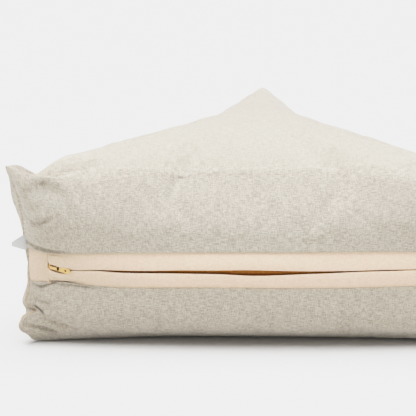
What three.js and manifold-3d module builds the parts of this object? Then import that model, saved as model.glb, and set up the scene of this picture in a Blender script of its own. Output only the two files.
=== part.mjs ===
// A three-cornered zafu: one filled cushion with pointed corners, and a cloth band with a zip across
// its front wall. Millimetres, +Z up, the zip faces -Y and the cushion lies on z = 0.
import * as THREE from 'three';
import { mergeVertices } from 'three/addons/utils/BufferGeometryUtils.js';
import Module from 'manifold-3d';

// Plan of the cushion
const SIDE = 387;            // straight side between two corner seams, at mid height
const BOW = 20;              // how far a side bulges past that straight line
const BOW_POWER = 0.55;
const RIM_BOW = 0.17;        // share of the bow that is left at the upper rim
const FOOT_BOW = 0.45;       // share of the bow that is left at the foot

// Heights
const WAIST = 72;            // height where the walls bulge most
const RIM = 140;             // height of the upper rim where the crown starts
const CROWN = 178;           // top of the filled crown
const CROWN_INSET = 127.5;   // from the centre to the sides of the triangle that the crown fades at
const CROWN_POWER = 0.65;
const FOOT_DROP = 6;         // how far the loaded foot presses into the floor, which flattens it
const FOOT_LIFT = 5;         // how much less it presses at the middle of a side

// Roundness of the wall's section: a higher power is a squarer section
const RIM_POWER = { middle: 3.6, corner: 12 };
const FOOT_POWER = { middle: 5, corner: 9 };
const CORNER_REACH = 69;     // distance along a side over which the section turns square

// Pointed corners
const UPPER_EAR = { length: 30, reach: 48, level: 4.2 };
const LOWER_EAR = { length: 22, reach: 10, level: 3 };
const EAR_RISE = { height: 29, reach: 38, power: 4.4 };   // the ear's tip over the rim
const SADDLE = { depth: 13, at: 0.9, width: 0.1 };        // the dip between ear and crown

// The walls puff out on both sides of each drawn-in corner seam
const PUFF = { height: 11.5, reach: 12.5, level: 0.58, width: 0.43 };

// Resolution of the cushion's skin
const STATIONS = 24;         // around each side
const TOP_ROWS = 12;
const WALL_ROWS = 20;
const BOTTOM_ROWS = 6;
const CORNER_CROWDING = 0.145;

// The band across the front wall and the zip in it. Depths are measured out from the wall's skin.
const BAND = { centre: 73, half: 16.4, endHalf: 13.6, end: 189.6 };
const FLAP = { end: 177.2, stations: 48, edgeDepth: -0.5, noseDepth: 0.9, thick: 1.5 };
const SLIT = { half: 2.5, middle: -6, reach: 132 };   // the opening between the two flaps
const CHANNEL_DEPTH = -6;
const TAPE = { end: 176.4, half: 10.5, back: -5.65, front: -4.65, stations: 46 };
const TEETH = { end: 174, half: 2.2, back: -4.35, front: -2.0, stations: 46 };
const GAP = 0.3;             // clearance between neighbouring pieces

// The zip's slider, closed at the left end, and its pull tab, which lies to the right of it
const SLIDER = {
  x: -169.1, length: 11, width: 7, plate: 1.2, wall: 0.9, skirt: 1.4, tilt: -11, rise: -0.2, room: 0.5,
};
const BRIDGE = { length: 8, width: 2.8, height: 2.6, wire: 1.1 };
const PULL = { length: 12.8, width: 4.5, thick: 1.1, hole: 0.9, holeInset: 4.2 };

// The small folded label sewn into the left corner seam
const LABEL = { low: 84, high: 97, length: 12.5, thick: 1.2, droop: 3.5, turn: 12 };

const wasm = await Module();
wasm.setup();

const corner = SIDE / Math.sqrt(3);
const cornerAngles = [210, 330, 90];
const cornerDirections = cornerAngles.map((degrees) => {
  const angle = THREE.MathUtils.degToRad(degrees);
  return new THREE.Vector2(Math.cos(angle), Math.sin(angle));
});

// The crown's share of its full height over a point of the plan: 1 in the middle, 0 at the sides.
function dome(plan) {
  let share = 27;
  for (const direction of cornerDirections) {
    share *= Math.max(0, (CROWN_INSET + plan.dot(direction)) / (3 * CROWN_INSET));
  }
  return share ** CROWN_POWER;
}

// Skin of the cushion. `side` is 0 for the front, `s` runs along it from corner to corner, and
// (reach, level) runs over the top (level 1), down the wall (reach 1) and under the foot (level -1).
function skin(side, s, reach, level) {
  const from = cornerDirections[side];
  const to = cornerDirections[(side + 1) % 3];
  const along = to.clone().sub(from).normalize();
  const outward = new THREE.Vector2(along.y, -along.x);
  const distance = SIDE * Math.min(s, 1 - s);
  const upper = level >= 0;

  const power = upper ? RIM_POWER : FOOT_POWER;
  const square = Math.exp(-((distance / CORNER_REACH) ** 2));
  const exponent = power.middle + (power.corner - power.middle) * square;
  const scale = (reach ** exponent + Math.abs(level) ** exponent) ** (-1 / exponent);

  const bowLeft = 1 - (1 - (upper ? RIM_BOW : FOOT_BOW)) * level ** 2;
  const bow = BOW * (4 * s * (1 - s)) ** BOW_POWER * bowLeft;
  const beside = distance / PUFF.reach;
  const puffLevel = Math.exp(-(((level - PUFF.level) / PUFF.width) ** 2));
  const puff = PUFF.height * beside * Math.exp(1 - beside) * puffLevel;

  const ear = upper ? UPPER_EAR : LOWER_EAR;
  const near = Math.exp(-distance / ear.reach);
  const earLength = ear.length * Math.abs(level) ** ear.level * near;
  const towards = s < 0.5 ? from : to;

  const plan = from.clone().multiplyScalar(corner * (1 - s));
  plan.addScaledVector(to, corner * s);
  plan.addScaledVector(outward, bow + puff);
  plan.addScaledVector(towards, earLength);
  plan.multiplyScalar(scale * reach);

  let height;
  if (upper) {
    const dip = SADDLE.depth * Math.exp(-(((reach - SADDLE.at) / SADDLE.width) ** 2)) * square;
    const rise = EAR_RISE.height * Math.exp(-distance / EAR_RISE.reach) * reach ** EAR_RISE.power;
    const top = RIM + (CROWN - RIM) * dome(plan) - dip + rise;
    height = WAIST + (top - WAIST) * scale * level;
  } else {
    const press = FOOT_DROP - FOOT_LIFT * 4 * s * (1 - s);
    height = Math.max(0, WAIST + (WAIST + press) * scale * level);
  }
  return new THREE.Vector3(plan.x, plan.y, height);
}

// A closed mesh from a ring-by-ring grid of points, with one pole or a flat cap at each end.
function closedMesh(rings, firstPole, lastPole) {
  const around = rings[0].length;
  const positions = [];
  for (const ring of rings) {
    for (const point of ring) positions.push(point.x, point.y, point.z);
  }
  positions.push(firstPole.x, firstPole.y, firstPole.z, lastPole.x, lastPole.y, lastPole.z);
  const first = rings.length * around;
  const last = first + 1;
  const indices = [];
  for (let i = 0; i < around; i += 1) {
    const next = (i + 1) % around;
    indices.push(first, i, next);
    for (let r = 0; r + 1 < rings.length; r += 1) {
      const a = r * around + i;
      const b = r * around + next;
      indices.push(a, a + around, b, b, a + around, b + around);
    }
    const base = (rings.length - 1) * around;
    indices.push(base + i, last, base + next);
  }
  const geometry = new THREE.BufferGeometry();
  geometry.setAttribute('position', new THREE.Float32BufferAttribute(positions, 3));
  geometry.setIndex(indices);
  return geometry;
}

function cushionSkin() {
  const section = [];
  for (let i = 1; i < TOP_ROWS; i += 1) {
    section.push([1 - (1 - i / TOP_ROWS) ** 1.5, 1]);
  }
  for (let i = 0; i <= WALL_ROWS; i += 1) {
    section.push([1, Math.cos((Math.PI * i) / WALL_ROWS)]);
  }
  for (let i = BOTTOM_ROWS - 1; i > 0; i -= 1) {
    section.push([1 - (1 - i / BOTTOM_ROWS) ** 1.5, -1]);
  }
  const rings = section.map(([reach, level]) => {
    const ring = [];
    for (let side = 0; side < 3; side += 1) {
      for (let i = 0; i < STATIONS; i += 1) {
        const q = i / STATIONS;
        const s = q - CORNER_CROWDING * Math.sin(2 * Math.PI * q);
        ring.push(skin(side, s, reach, level));
      }
    }
    return ring;
  });
  return closedMesh(rings, skin(0, 0.5, 0, 1), skin(0, 0.5, 0, -1));
}

// Point of the front wall at station s and height z, moved out along the wall's normal by depth.
function wallPoint(s, z, depth) {
  const levelAt = (height) => {
    let low = -1;
    let high = 1;
    for (let i = 0; i < 40; i += 1) {
      const middle = (low + high) / 2;
      if (skin(0, s, 1, middle).z < height) low = middle;
      else high = middle;
    }
    return (low + high) / 2;
  };
  const level = levelAt(z);
  const point = skin(0, s, 1, level);
  const step = 0.004;
  const along = skin(0, Math.min(s + step, 1), 1, level).sub(skin(0, Math.max(s - step, 0), 1, level));
  const up = skin(0, s, 1, level + 0.02).sub(skin(0, s, 1, level - 0.02));
  const normal = along.cross(up).normalize();
  return point.addScaledVector(normal, depth);
}

function stationAt(x) {
  let low = 0;
  let high = 1;
  for (let i = 0; i < 40; i += 1) {
    const middle = (low + high) / 2;
    if (wallPoint(middle, BAND.centre, 0).x < x) low = middle;
    else high = middle;
  }
  return (low + high) / 2;
}

// A strip that follows the front wall from x0 to x1, its stations crowded towards both ends.
// section(x) gives its closed outline there, as [height, depth] pairs in anticlockwise order
// seen from the right end.
function wallStrip(x0, x1, stations, section) {
  const rings = [];
  for (let i = 0; i <= stations; i += 1) {
    const x = THREE.MathUtils.lerp(x0, x1, (1 + Math.cos((Math.PI * i) / stations)) / 2);
    const s = stationAt(x);
    rings.push(section(x).map(([z, depth]) => wallPoint(s, z, depth)));
  }
  const middleOf = (ring) => {
    const sum = new THREE.Vector3();
    for (const point of ring) sum.add(point);
    return sum.divideScalar(ring.length);
  };
  return closedMesh(rings, middleOf(rings[0]), middleOf(rings[rings.length - 1]));
}

function bandHalf(x) {
  return BAND.half - (BAND.half - BAND.endHalf) * (Math.abs(x) / BAND.end) ** 6;
}

// Half the opening between the two flaps: a long slit, and a wider one where the slider stands.
function slitHalf(x) {
  const t = (x - SLIT.middle) / SLIT.reach;
  return Math.abs(t) < 1 ? SLIT.half * (1 - t * t) : 0;
}

// 1 along the slider, falling to 0 where the zip runs level again.
function sliderShare(x) {
  return 1 - THREE.MathUtils.smoothstep(x, SLIDER.x + SLIDER.length * 1.38, SLIDER.x + SLIDER.length * 2.98);
}

// Height of the zip's middle line: it is pulled askew by the closed slider.
function zipMiddle(x) {
  const slope = Math.tan(THREE.MathUtils.degToRad(SLIDER.tilt));
  const askew = SLIDER.rise + slope * (x - SLIDER.x);
  return BAND.centre + askew * sliderShare(x);
}

function openHalf(x) {
  const overSlider = (SLIDER.width / 2 + SLIDER.room) * sliderShare(x);
  return GAP / 2 + Math.max(slitHalf(x), overSlider);
}

// One flap of folded cloth, from the band's sewn edge to its free rolled edge.
function flap(sign) {
  return wallStrip(-FLAP.end, FLAP.end, FLAP.stations, (x) => {
    const sewn = BAND.centre + sign * (bandHalf(x) - GAP);
    const free = zipMiddle(x) + sign * openHalf(x);
    const front = [];
    const back = [];
    for (const share of [0, 0.12, 0.45, 0.8, 0.94, 1]) {
      const z = THREE.MathUtils.lerp(sewn, free, share);
      const rise = THREE.MathUtils.smoothstep(share, 0, 0.94);
      const nose = share === 1 ? 0.55 : 0;
      const depth = THREE.MathUtils.lerp(FLAP.edgeDepth, FLAP.noseDepth, rise);
      front.push([z, depth - nose]);
      back.push([z, depth - FLAP.thick - 0.6 * rise + nose]);
    }
    const outline = [...front, ...back.reverse()];
    return sign > 0 ? outline : outline.reverse();
  });
}

const bandMiddle = () => BAND.centre;

// A strip of even thickness about a middle line.
function plainStrip(x0, x1, stations, middle, half, back, front) {
  return wallStrip(x0, x1, stations, (x) => {
    const heights = [1, 0.5, 0, -0.5, -1].map((share) => middle(x) + share * half(x));
    return [...heights.map((z) => [z, front]), ...heights.reverse().map((z) => [z, back])];
  });
}

function solidOf(geometry) {
  const bare = geometry.clone();
  bare.deleteAttribute('normal');
  bare.deleteAttribute('uv');
  const merged = mergeVertices(bare, 1e-4);
  return new wasm.Manifold(new wasm.Mesh({
    numProp: 3,
    vertProperties: new Float32Array(merged.attributes.position.array),
    triVerts: new Uint32Array(merged.index.array),
  }));
}

function geometryOf(solid) {
  const mesh = solid.getMesh();
  const geometry = new THREE.BufferGeometry();
  geometry.setAttribute('position', new THREE.BufferAttribute(mesh.vertProperties, 3));
  geometry.setIndex(new THREE.BufferAttribute(mesh.triVerts, 1));
  return geometry;
}

// The filled cushion, less the shallow channel that the band and its zip lie in.
function cushionBody() {
  const end = BAND.end + GAP;
  const channel = plainStrip(-end, end, 60, bandMiddle, bandHalf, CHANNEL_DEPTH, 9);
  return geometryOf(solidOf(cushionSkin()).subtract(solidOf(channel)));
}

function box(x, y, z, atX, atY, atZ) {
  return new THREE.BoxGeometry(x, y, z).translate(atX, atY, atZ);
}

// Slider: a plate over the teeth, a skirt down each side of them, and a bridge for the pull.
// It is made flat, its length along X, its width along Y and its height along Z from the plate.
function slider() {
  const skirtDrop = SLIDER.skirt + SLIDER.plate / 2;
  const edge = SLIDER.width / 2 - SLIDER.wall / 2;
  const top = SLIDER.plate;
  const parts = [
    box(SLIDER.length, SLIDER.width, SLIDER.plate, 0, 0, SLIDER.plate / 2),
    box(SLIDER.length, SLIDER.wall, skirtDrop, 0, edge, SLIDER.plate / 2 - skirtDrop / 2),
    box(SLIDER.length, SLIDER.wall, skirtDrop, 0, -edge, SLIDER.plate / 2 - skirtDrop / 2),
  ];
  const arch = new THREE.Shape();
  const half = BRIDGE.length / 2;
  arch.moveTo(-half, -0.4);
  arch.lineTo(-half, BRIDGE.height * 0.6);
  arch.quadraticCurveTo(-half, BRIDGE.height, -half * 0.55, BRIDGE.height);
  arch.lineTo(half * 0.55, BRIDGE.height);
  arch.quadraticCurveTo(half, BRIDGE.height, half, BRIDGE.height * 0.6);
  arch.lineTo(half, -0.4);
  arch.lineTo(half - BRIDGE.wire, -0.4);
  arch.lineTo(half - BRIDGE.wire, BRIDGE.height - BRIDGE.wire);
  arch.lineTo(-half + BRIDGE.wire, BRIDGE.height - BRIDGE.wire);
  arch.lineTo(-half + BRIDGE.wire, -0.4);
  arch.closePath();
  const bridge = new THREE.ExtrudeGeometry(arch, {
    depth: BRIDGE.width, bevelEnabled: false, curveSegments: 5,
  });
  bridge.translate(0, 0, -BRIDGE.width / 2).rotateX(Math.PI / 2).translate(0, 0, top);
  let solid = solidOf(bridge);
  for (const part of parts) solid = solid.add(solidOf(part));
  return geometryOf(solid);
}

// Pull tab: a flat tongue with a square eye that the bridge's left leg stands in.
function pull() {
  const half = PULL.width / 2;
  const eyeLeft = -BRIDGE.length / 2 - GAP;
  const eyeRight = -BRIDGE.length / 2 + BRIDGE.wire + GAP;
  const right = eyeRight + 1.0;
  const left = right - PULL.length;
  const outline = new THREE.Shape();
  outline.moveTo(left + half * 0.7, -half);
  outline.lineTo(right, -half);
  outline.lineTo(right, half);
  outline.lineTo(left + half * 0.7, half);
  outline.quadraticCurveTo(left, half, left, 0);
  outline.quadraticCurveTo(left, -half, left + half * 0.7, -half);
  const eye = new THREE.Path();
  const eyeHalf = BRIDGE.width / 2 + GAP;
  eye.moveTo(eyeLeft, -eyeHalf);
  eye.lineTo(eyeLeft, eyeHalf);
  eye.lineTo(eyeRight, eyeHalf);
  eye.lineTo(eyeRight, -eyeHalf);
  eye.closePath();
  outline.holes.push(eye);
  const hole = new THREE.Path();
  hole.absarc(left + PULL.holeInset, 0, PULL.hole, 0, 2 * Math.PI, true);
  outline.holes.push(hole);
  const tab = new THREE.ExtrudeGeometry(outline, {
    depth: PULL.thick, bevelEnabled: false, curveSegments: 8,
  });
  return tab.translate(0, 0, SLIDER.plate + GAP);
}

// Sets a piece that was made flat on the slider's place: its length along the zip, its height out
// of the wall, turned with the slider, and half round so that the pull lies to the right.
function onZip(geometry) {
  const s = stationAt(SLIDER.x);
  const z = zipMiddle(SLIDER.x);
  const seat = wallPoint(s, z, TEETH.front + GAP);
  const out = wallPoint(s, z, 1).sub(wallPoint(s, z, 0)).normalize();
  const along = wallPoint(s + 0.01, z, 0).sub(wallPoint(s - 0.01, z, 0)).normalize();
  const up = out.clone().cross(along).normalize();
  const frame = new THREE.Matrix4().makeBasis(along, up, out).setPosition(seat);
  return geometry.rotateZ(THREE.MathUtils.degToRad(SLIDER.tilt + 180)).applyMatrix4(frame);
}

// The label stands out of the left corner seam and droops a little to its free end.
function label() {
  const low = skin(0, 0, 1, 0.13);
  const outward = cornerDirections[0].clone().rotateAround(
    new THREE.Vector2(),
    THREE.MathUtils.degToRad(-LABEL.turn),
  );
  const root = new THREE.Vector3(low.x, low.y, 0).add(
    new THREE.Vector3(outward.x, outward.y, 0).multiplyScalar(GAP + 0.5),
  );
  const middle = (LABEL.low + LABEL.high) / 2;
  const half = (LABEL.high - LABEL.low) / 2;
  const outline = new THREE.Shape();
  outline.moveTo(0, -half);
  outline.lineTo(LABEL.length, -half * 0.72 - LABEL.droop);
  outline.quadraticCurveTo(LABEL.length + 0.9, -LABEL.droop, LABEL.length, half * 0.72 - LABEL.droop);
  outline.lineTo(0, half);
  outline.closePath();
  const loop = new THREE.ExtrudeGeometry(outline, {
    depth: LABEL.thick, bevelEnabled: false, curveSegments: 6,
  });
  const out = new THREE.Vector3(outward.x, outward.y, 0).normalize();
  const up = new THREE.Vector3(0, 0, 1);
  const across = out.clone().cross(up);
  const frame = new THREE.Matrix4().makeBasis(out, up, across);
  frame.setPosition(root.x, root.y, middle);
  return loop.translate(0, 0, -LABEL.thick / 2).applyMatrix4(frame);
}

const finishes = {
  chambray: { color: 0xb7b2a6, roughness: 0.95, metalness: 0 },
  calico: { color: 0xe2d2c0, roughness: 0.9, metalness: 0 },
  tape: { color: 0x8a6238, roughness: 0.85, metalness: 0 },
  brass: { color: 0xc9a04e, roughness: 0.35, metalness: 1 },
  ribbon: { color: 0xe9e7e2, roughness: 0.8, metalness: 0 },
};

const group = new THREE.Group();

function add(name, finish, geometry) {
  const bare = geometry.clone();
  bare.deleteAttribute('normal');
  bare.deleteAttribute('uv');
  const merged = mergeVertices(bare, 1e-4);
  merged.computeVertexNormals();
  const mesh = new THREE.Mesh(merged, new THREE.MeshStandardMaterial(finishes[finish]));
  mesh.name = name;
  group.add(mesh);
}

const endHalf = (x) => bandHalf(x) - GAP;
const endDepths = [FLAP.edgeDepth - FLAP.thick, FLAP.edgeDepth];
const tapeHalf = () => TAPE.half;
const teethHalf = () => TEETH.half;

add('cushion_body', 'chambray', cushionBody());
add('placket_upper', 'calico', flap(1));
add('placket_lower', 'calico', flap(-1));
for (const [name, x0, x1] of [
  ['placket_end_left', -BAND.end, -FLAP.end - GAP],
  ['placket_end_right', FLAP.end + GAP, BAND.end],
]) {
  add(name, 'calico', plainStrip(x0, x1, 6, bandMiddle, endHalf, ...endDepths));
}
for (const [name, finish, strip, half] of [
  ['zip_tape', 'tape', TAPE, tapeHalf],
  ['zip_teeth', 'brass', TEETH, teethHalf],
]) {
  const { end, stations, back, front } = strip;
  add(name, finish, plainStrip(-end, end, stations, zipMiddle, half, back, front));
}
add('zip_slider', 'brass', onZip(slider()));
add('zip_pull', 'brass', onZip(pull()));
add('label', 'ribbon', label());

// The origin is under the middle of the whole cushion.
const bounds = new THREE.Box3().setFromObject(group);
const middle = bounds.getCenter(new THREE.Vector3());
for (const mesh of group.children) {
  mesh.geometry.translate(-middle.x, -middle.y, -bounds.min.z);
}

export default group;
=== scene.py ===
"""A three-cornered zafu: a filled floor cushion of chambray with a zip between two ecru flaps.

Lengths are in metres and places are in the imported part's own frame: +Z up out of the crown, the
floor at zero, and -Y out of the wall that holds the zip.
"""

import logging
import math
from dataclasses import dataclass, field
from enum import Enum

import bmesh
import bpy
import numpy as np
from mathutils import Matrix, Vector
from mathutils.kdtree import KDTree


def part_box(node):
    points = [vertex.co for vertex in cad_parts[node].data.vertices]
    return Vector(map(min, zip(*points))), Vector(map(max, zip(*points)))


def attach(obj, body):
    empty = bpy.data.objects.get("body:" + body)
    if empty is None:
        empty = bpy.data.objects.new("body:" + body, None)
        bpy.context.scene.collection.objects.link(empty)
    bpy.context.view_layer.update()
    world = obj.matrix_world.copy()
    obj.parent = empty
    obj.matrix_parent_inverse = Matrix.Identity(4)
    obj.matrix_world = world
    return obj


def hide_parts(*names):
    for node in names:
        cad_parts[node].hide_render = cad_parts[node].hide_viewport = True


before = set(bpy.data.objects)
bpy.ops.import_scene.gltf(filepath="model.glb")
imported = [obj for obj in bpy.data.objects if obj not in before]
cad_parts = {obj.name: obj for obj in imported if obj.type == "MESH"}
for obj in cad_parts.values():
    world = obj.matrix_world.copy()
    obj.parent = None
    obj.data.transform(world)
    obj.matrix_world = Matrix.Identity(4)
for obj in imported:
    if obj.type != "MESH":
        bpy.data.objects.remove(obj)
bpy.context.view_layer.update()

MM = 0.001
ROOT = "root"
CLOTH_UV = "cloth"
FOLD = "fold"
SEAM = "seam"
CORNER_ANGLES = (210, 330, 90)

Triple = tuple[float, float, float]
Pair = tuple[float, float]

log = logging.getLogger("zafu")


class Wall(Enum):
    """The cushion's three walls, anticlockwise seen from above, each from corner to corner."""

    FRONT = 0
    RIGHT = 1
    LEFT = 2


class FlapSide(Enum):
    """Which side of the zip a flap is sewn to."""

    UPPER = 1
    LOWER = -1


def smoothstep(value: np.ndarray, low: float, high: float) -> np.ndarray:
    """Return a share that rises smoothly from 0 at low to 1 at high."""
    share = np.clip((np.asarray(value, float) - low) / (high - low), 0.0, 1.0)
    return share * share * (3 - 2 * share)


def hump(value: np.ndarray, width: float) -> np.ndarray:
    """Return a soft hump of height 1 at zero that fades over a width."""
    return np.exp(-((np.asarray(value, float) / width) ** 2))


def unit(vectors: np.ndarray) -> np.ndarray:
    """Return vectors at length 1."""
    return vectors / np.maximum(np.linalg.norm(vectors, axis=-1, keepdims=True), 1e-12)


def eased(count: int, first: float, last: float) -> np.ndarray:
    """Return shares from 0 to 1, crowded towards either end.

    Args:
        count: How many steps there are.
        first: Crowding at the start, from 0, even, to 1.
        last: Crowding at the end, from 0, even, to 1.

    Returns:
        The count + 1 shares.
    """
    even = np.linspace(0.0, 1.0, count + 1)
    tight_start = even**2
    tight_end = 1 - (1 - even) ** 2
    start = even + first * (1 - even) * (tight_start - even)
    return start + last * even * (tight_end - even)


@dataclass(frozen=True)
class Ear:
    """A pointed corner: its length, how far along the wall it fades, and its levels' power."""

    length: float
    reach: float
    level: float

    def out(self, distance: np.ndarray, size: np.ndarray) -> np.ndarray:
        """Return how far it reaches out at distances from the corner and sizes of the level."""
        return self.length * size**self.level * np.exp(-distance / self.reach)


@dataclass(frozen=True)
class CushionForm:
    """Outer form of the filled cushion, one formula from the crown's middle to the foot's.

    A point is named by its wall, its share along that wall from corner to corner, its reach from
    the middle out to the wall, and its level from the upper rim, 1, down to the foot, -1.
    """

    side: float = 387 * MM
    bow: float = 20 * MM
    bow_power: float = 0.55
    rim_bow: float = 0.17
    foot_bow: float = 0.45
    waist: float = 72 * MM
    rim: float = 140 * MM
    crown: float = 178 * MM
    crown_inset: float = 127.5 * MM
    crown_power: float = 0.65
    foot_drop: float = 6 * MM
    foot_lift: float = 2.6 * MM
    rim_powers: Pair = (3.6, 12.0)
    foot_powers: Pair = (5.8, 9.0)
    corner_reach: float = 69 * MM
    upper_ear: Ear = Ear(30 * MM, 48 * MM, 4.2)
    lower_ear: Ear = Ear(22 * MM, 10 * MM, 3.0)
    ear_rise: float = 29 * MM
    ear_rise_reach: float = 38 * MM
    ear_rise_power: float = 4.4
    saddle_depth: float = 13 * MM
    saddle_at: float = 0.9
    saddle_width: float = 0.1
    back_rise_reach: float = 52 * MM
    back_rise_power: float = 3.0
    puff: float = 11.5 * MM
    puff_reach: float = 12.5 * MM
    puff_level: float = 0.58
    puff_width: float = 0.43
    plan_shift: float = -53.3 * MM

    @staticmethod
    def corner(number: int) -> np.ndarray:
        """Return the direction of a corner from the middle of the plan."""
        angle = math.radians(CORNER_ANGLES[number % 3])
        return np.array([math.cos(angle), math.sin(angle)])

    def outward(self, wall: Wall) -> np.ndarray:
        """Return the direction that a wall faces, in the plan."""
        along = self.corner(wall.value + 1) - self.corner(wall.value)
        along /= np.linalg.norm(along)
        return np.array([along[1], -along[0]])

    def dome(self, plan: np.ndarray) -> np.ndarray:
        """Return the crown's share of its full height over points of the plan."""
        share = np.full(plan.shape[:-1], 3.0**3)
        for number in range(3):
            inset = (self.crown_inset + plan @ self.corner(number)) / (3 * self.crown_inset)
            share = share * np.maximum(inset, 0.0)
        return share**self.crown_power

    def skin(
        self, wall: Wall, share: np.ndarray, reach: np.ndarray, level: np.ndarray
    ) -> np.ndarray:
        """Return points of the skin.

        Args:
            wall: The wall that the points belong to.
            share: Shares along the wall.
            reach: Reaches from the middle, 0, to the wall, 1.
            level: Levels from the rim, 1, to the foot, -1.

        Returns:
            The points, with one more axis than the broadcast arguments.
        """
        spread = np.broadcast_arrays(share, reach, level)
        share, reach, level = (np.asarray(values, float) for values in spread)
        start, end = self.corner(wall.value), self.corner(wall.value + 1)
        distance = self.side * np.minimum(share, 1 - share)
        upper = level >= 0
        size = np.abs(level)

        square = hump(distance, self.corner_reach)
        at_rim = self.rim_powers[0] + (self.rim_powers[1] - self.rim_powers[0]) * square
        at_foot = self.foot_powers[0] + (self.foot_powers[1] - self.foot_powers[0]) * square
        power = np.where(upper, at_rim, at_foot)
        scale = (reach**power + size**power) ** (-1 / power)

        bow_left = 1 - (1 - np.where(upper, self.rim_bow, self.foot_bow)) * level**2
        bow = self.bow * (4 * share * (1 - share)) ** self.bow_power * bow_left
        beside = distance / self.puff_reach
        fullest = hump(level - self.puff_level, self.puff_width)
        puff = self.puff * beside * np.exp(1 - beside) * fullest
        ears = self.upper_ear.out(distance, size), self.lower_ear.out(distance, size)
        ear = np.where(upper, *ears)

        radius = self.side / math.sqrt(3)
        towards = np.where((share < 0.5)[..., None], start, end)
        plan = (radius * (1 - share))[..., None] * start + (radius * share)[..., None] * end
        plan = plan + (bow + puff)[..., None] * self.outward(wall) + ear[..., None] * towards
        plan = plan * (scale * reach)[..., None]

        back = (np.where(share < 0.5, wall.value, wall.value + 1) % 3) == 2
        dip = self.saddle_depth * hump(reach - self.saddle_at, self.saddle_width) * square
        dip = np.where(back, 0.0, dip)
        rise_power = np.where(back, self.back_rise_power, self.ear_rise_power)
        rise_reach = np.where(back, self.back_rise_reach, self.ear_rise_reach)
        rise = self.ear_rise * np.exp(-distance / rise_reach) * reach**rise_power
        top = self.rim + (self.crown - self.rim) * self.dome(plan) - dip + rise
        above = self.waist + (top - self.waist) * scale * level
        press = self.foot_drop - self.foot_lift * 4 * share * (1 - share)
        below = np.maximum(0.0, self.waist + (self.waist + press) * scale * level)
        height = np.where(upper, above, below)
        return np.stack([plan[..., 0], plan[..., 1] + self.plan_shift, height], axis=-1)


@dataclass(frozen=True)
class Band:
    """The sewn edges of the ecru band across the front wall, a little uneven as the cloth pulls.

    The heights are those of the band's upper and lower edge at a few places along the wall, all in
    millimetres.
    """

    centre: float = 73 * MM
    end: float = 189.6 * MM
    places: tuple[float, ...] = (-190, -179, -164, -146, -122, -42, 39, 132, 190)
    upper_edge: tuple[float, ...] = (88.2, 86.4, 85.4, 86.0, 87.0, 88.9, 89.4, 89.0, 86.6)
    lower_edge: tuple[float, ...] = (58.6, 58.8, 59.6, 57.6, 56.4, 57.4, 57.2, 58.0, 59.4)

    def edge(self, x: np.ndarray, side: FlapSide) -> np.ndarray:
        """Return the height of the band's sewn edge at places along the wall."""
        heights = self.upper_edge if side is FlapSide.UPPER else self.lower_edge
        return curve_at(x, self.places, heights)


def curve_at(x: np.ndarray, places: tuple[float, ...], values: tuple[float, ...]) -> np.ndarray:
    """Return a smooth curve in metres at x, through places and values in millimetres."""
    along = np.asarray(x, float) / MM
    return MM * smooth_through(along, np.array(places, float), np.array(values, float))


def smooth_through(x: np.ndarray, places: np.ndarray, values: np.ndarray) -> np.ndarray:
    """Return a smooth curve through a few places and values, level outside them."""
    slopes = np.gradient(values, places)
    x = np.clip(x, places[0], places[-1])
    i = np.clip(np.searchsorted(places, x, side="right") - 1, 0, len(places) - 2)
    gap = places[i + 1] - places[i]
    t = (x - places[i]) / gap
    rise = values[i + 1] - values[i]
    start, end = slopes[i] * gap, slopes[i + 1] * gap
    bend = 3 * rise - 2 * start - end
    return values[i] + t * start + t**2 * bend + t**3 * (start + end - 2 * rise)


@dataclass(frozen=True)
class FrontWall:
    """Places on the front wall, named by how far along it and how high they are.

    A search halves its range in a number of steps. The share aside and the level above are those
    between which the skin's normal is measured.
    """

    form: CushionForm
    band: Band
    steps: int = 36
    share_aside: float = 0.004
    level_above: float = 0.02

    def level_at(
        self, share: np.ndarray, height: np.ndarray, wall: Wall = Wall.FRONT
    ) -> np.ndarray:
        """Return the level at which a wall has a height, found by halving."""
        share, height = np.broadcast_arrays(share, height)
        low, high = np.full(share.shape, -1.0), np.full(share.shape, 1.0)
        for _ in range(self.steps):
            middle = (low + high) / 2
            below = self.form.skin(wall, share, 1.0, middle)[..., 2] < height
            low, high = np.where(below, middle, low), np.where(below, high, middle)
        return (low + high) / 2

    def share_at(self, x: np.ndarray) -> np.ndarray:
        """Return the share along the wall of places at the band's middle height."""
        x = np.asarray(x, float)
        low, high = np.zeros(x.shape), np.ones(x.shape)
        for _ in range(self.steps):
            middle = (low + high) / 2
            level = self.level_at(middle, self.band.centre)
            short = self.form.skin(Wall.FRONT, middle, 1.0, level)[..., 0] < x
            low, high = np.where(short, middle, low), np.where(short, high, middle)
        return (low + high) / 2

    def place(self, share: np.ndarray, height: np.ndarray, depth: np.ndarray) -> np.ndarray:
        """Return points at shares and heights, moved out of the wall by a depth.

        Args:
            share: Shares along the wall.
            height: Heights over the floor.
            depth: How far out of the skin the points are, along its normal.

        Returns:
            The points.
        """
        share, height, depth = np.broadcast_arrays(share, height, depth)
        level = self.level_at(share, height)
        point = self.form.skin(Wall.FRONT, share, 1.0, level)
        right_share = np.minimum(share + self.share_aside, 1.0)
        left_share = np.maximum(share - self.share_aside, 0.0)
        right = self.form.skin(Wall.FRONT, right_share, 1.0, level)
        left = self.form.skin(Wall.FRONT, left_share, 1.0, level)
        up = self.form.skin(Wall.FRONT, share, 1.0, level + self.level_above)
        down = self.form.skin(Wall.FRONT, share, 1.0, level - self.level_above)
        out = unit(np.cross(right - left, up - down))
        return point + out * depth[..., None]

    def seats(
        self, x: np.ndarray, height: np.ndarray, depth: float
    ) -> tuple[np.ndarray, np.ndarray]:
        """Return points for small things on the wall, and the directions out of it there.

        Args:
            x: Places along the wall.
            height: Heights over the floor.
            depth: How far out of the skin the points are.

        Returns:
            The points and the directions.
        """
        share = self.share_at(x)
        seat = self.place(share, height, depth)
        return seat, unit(self.place(share, height, depth + 1 * MM) - seat)


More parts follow.
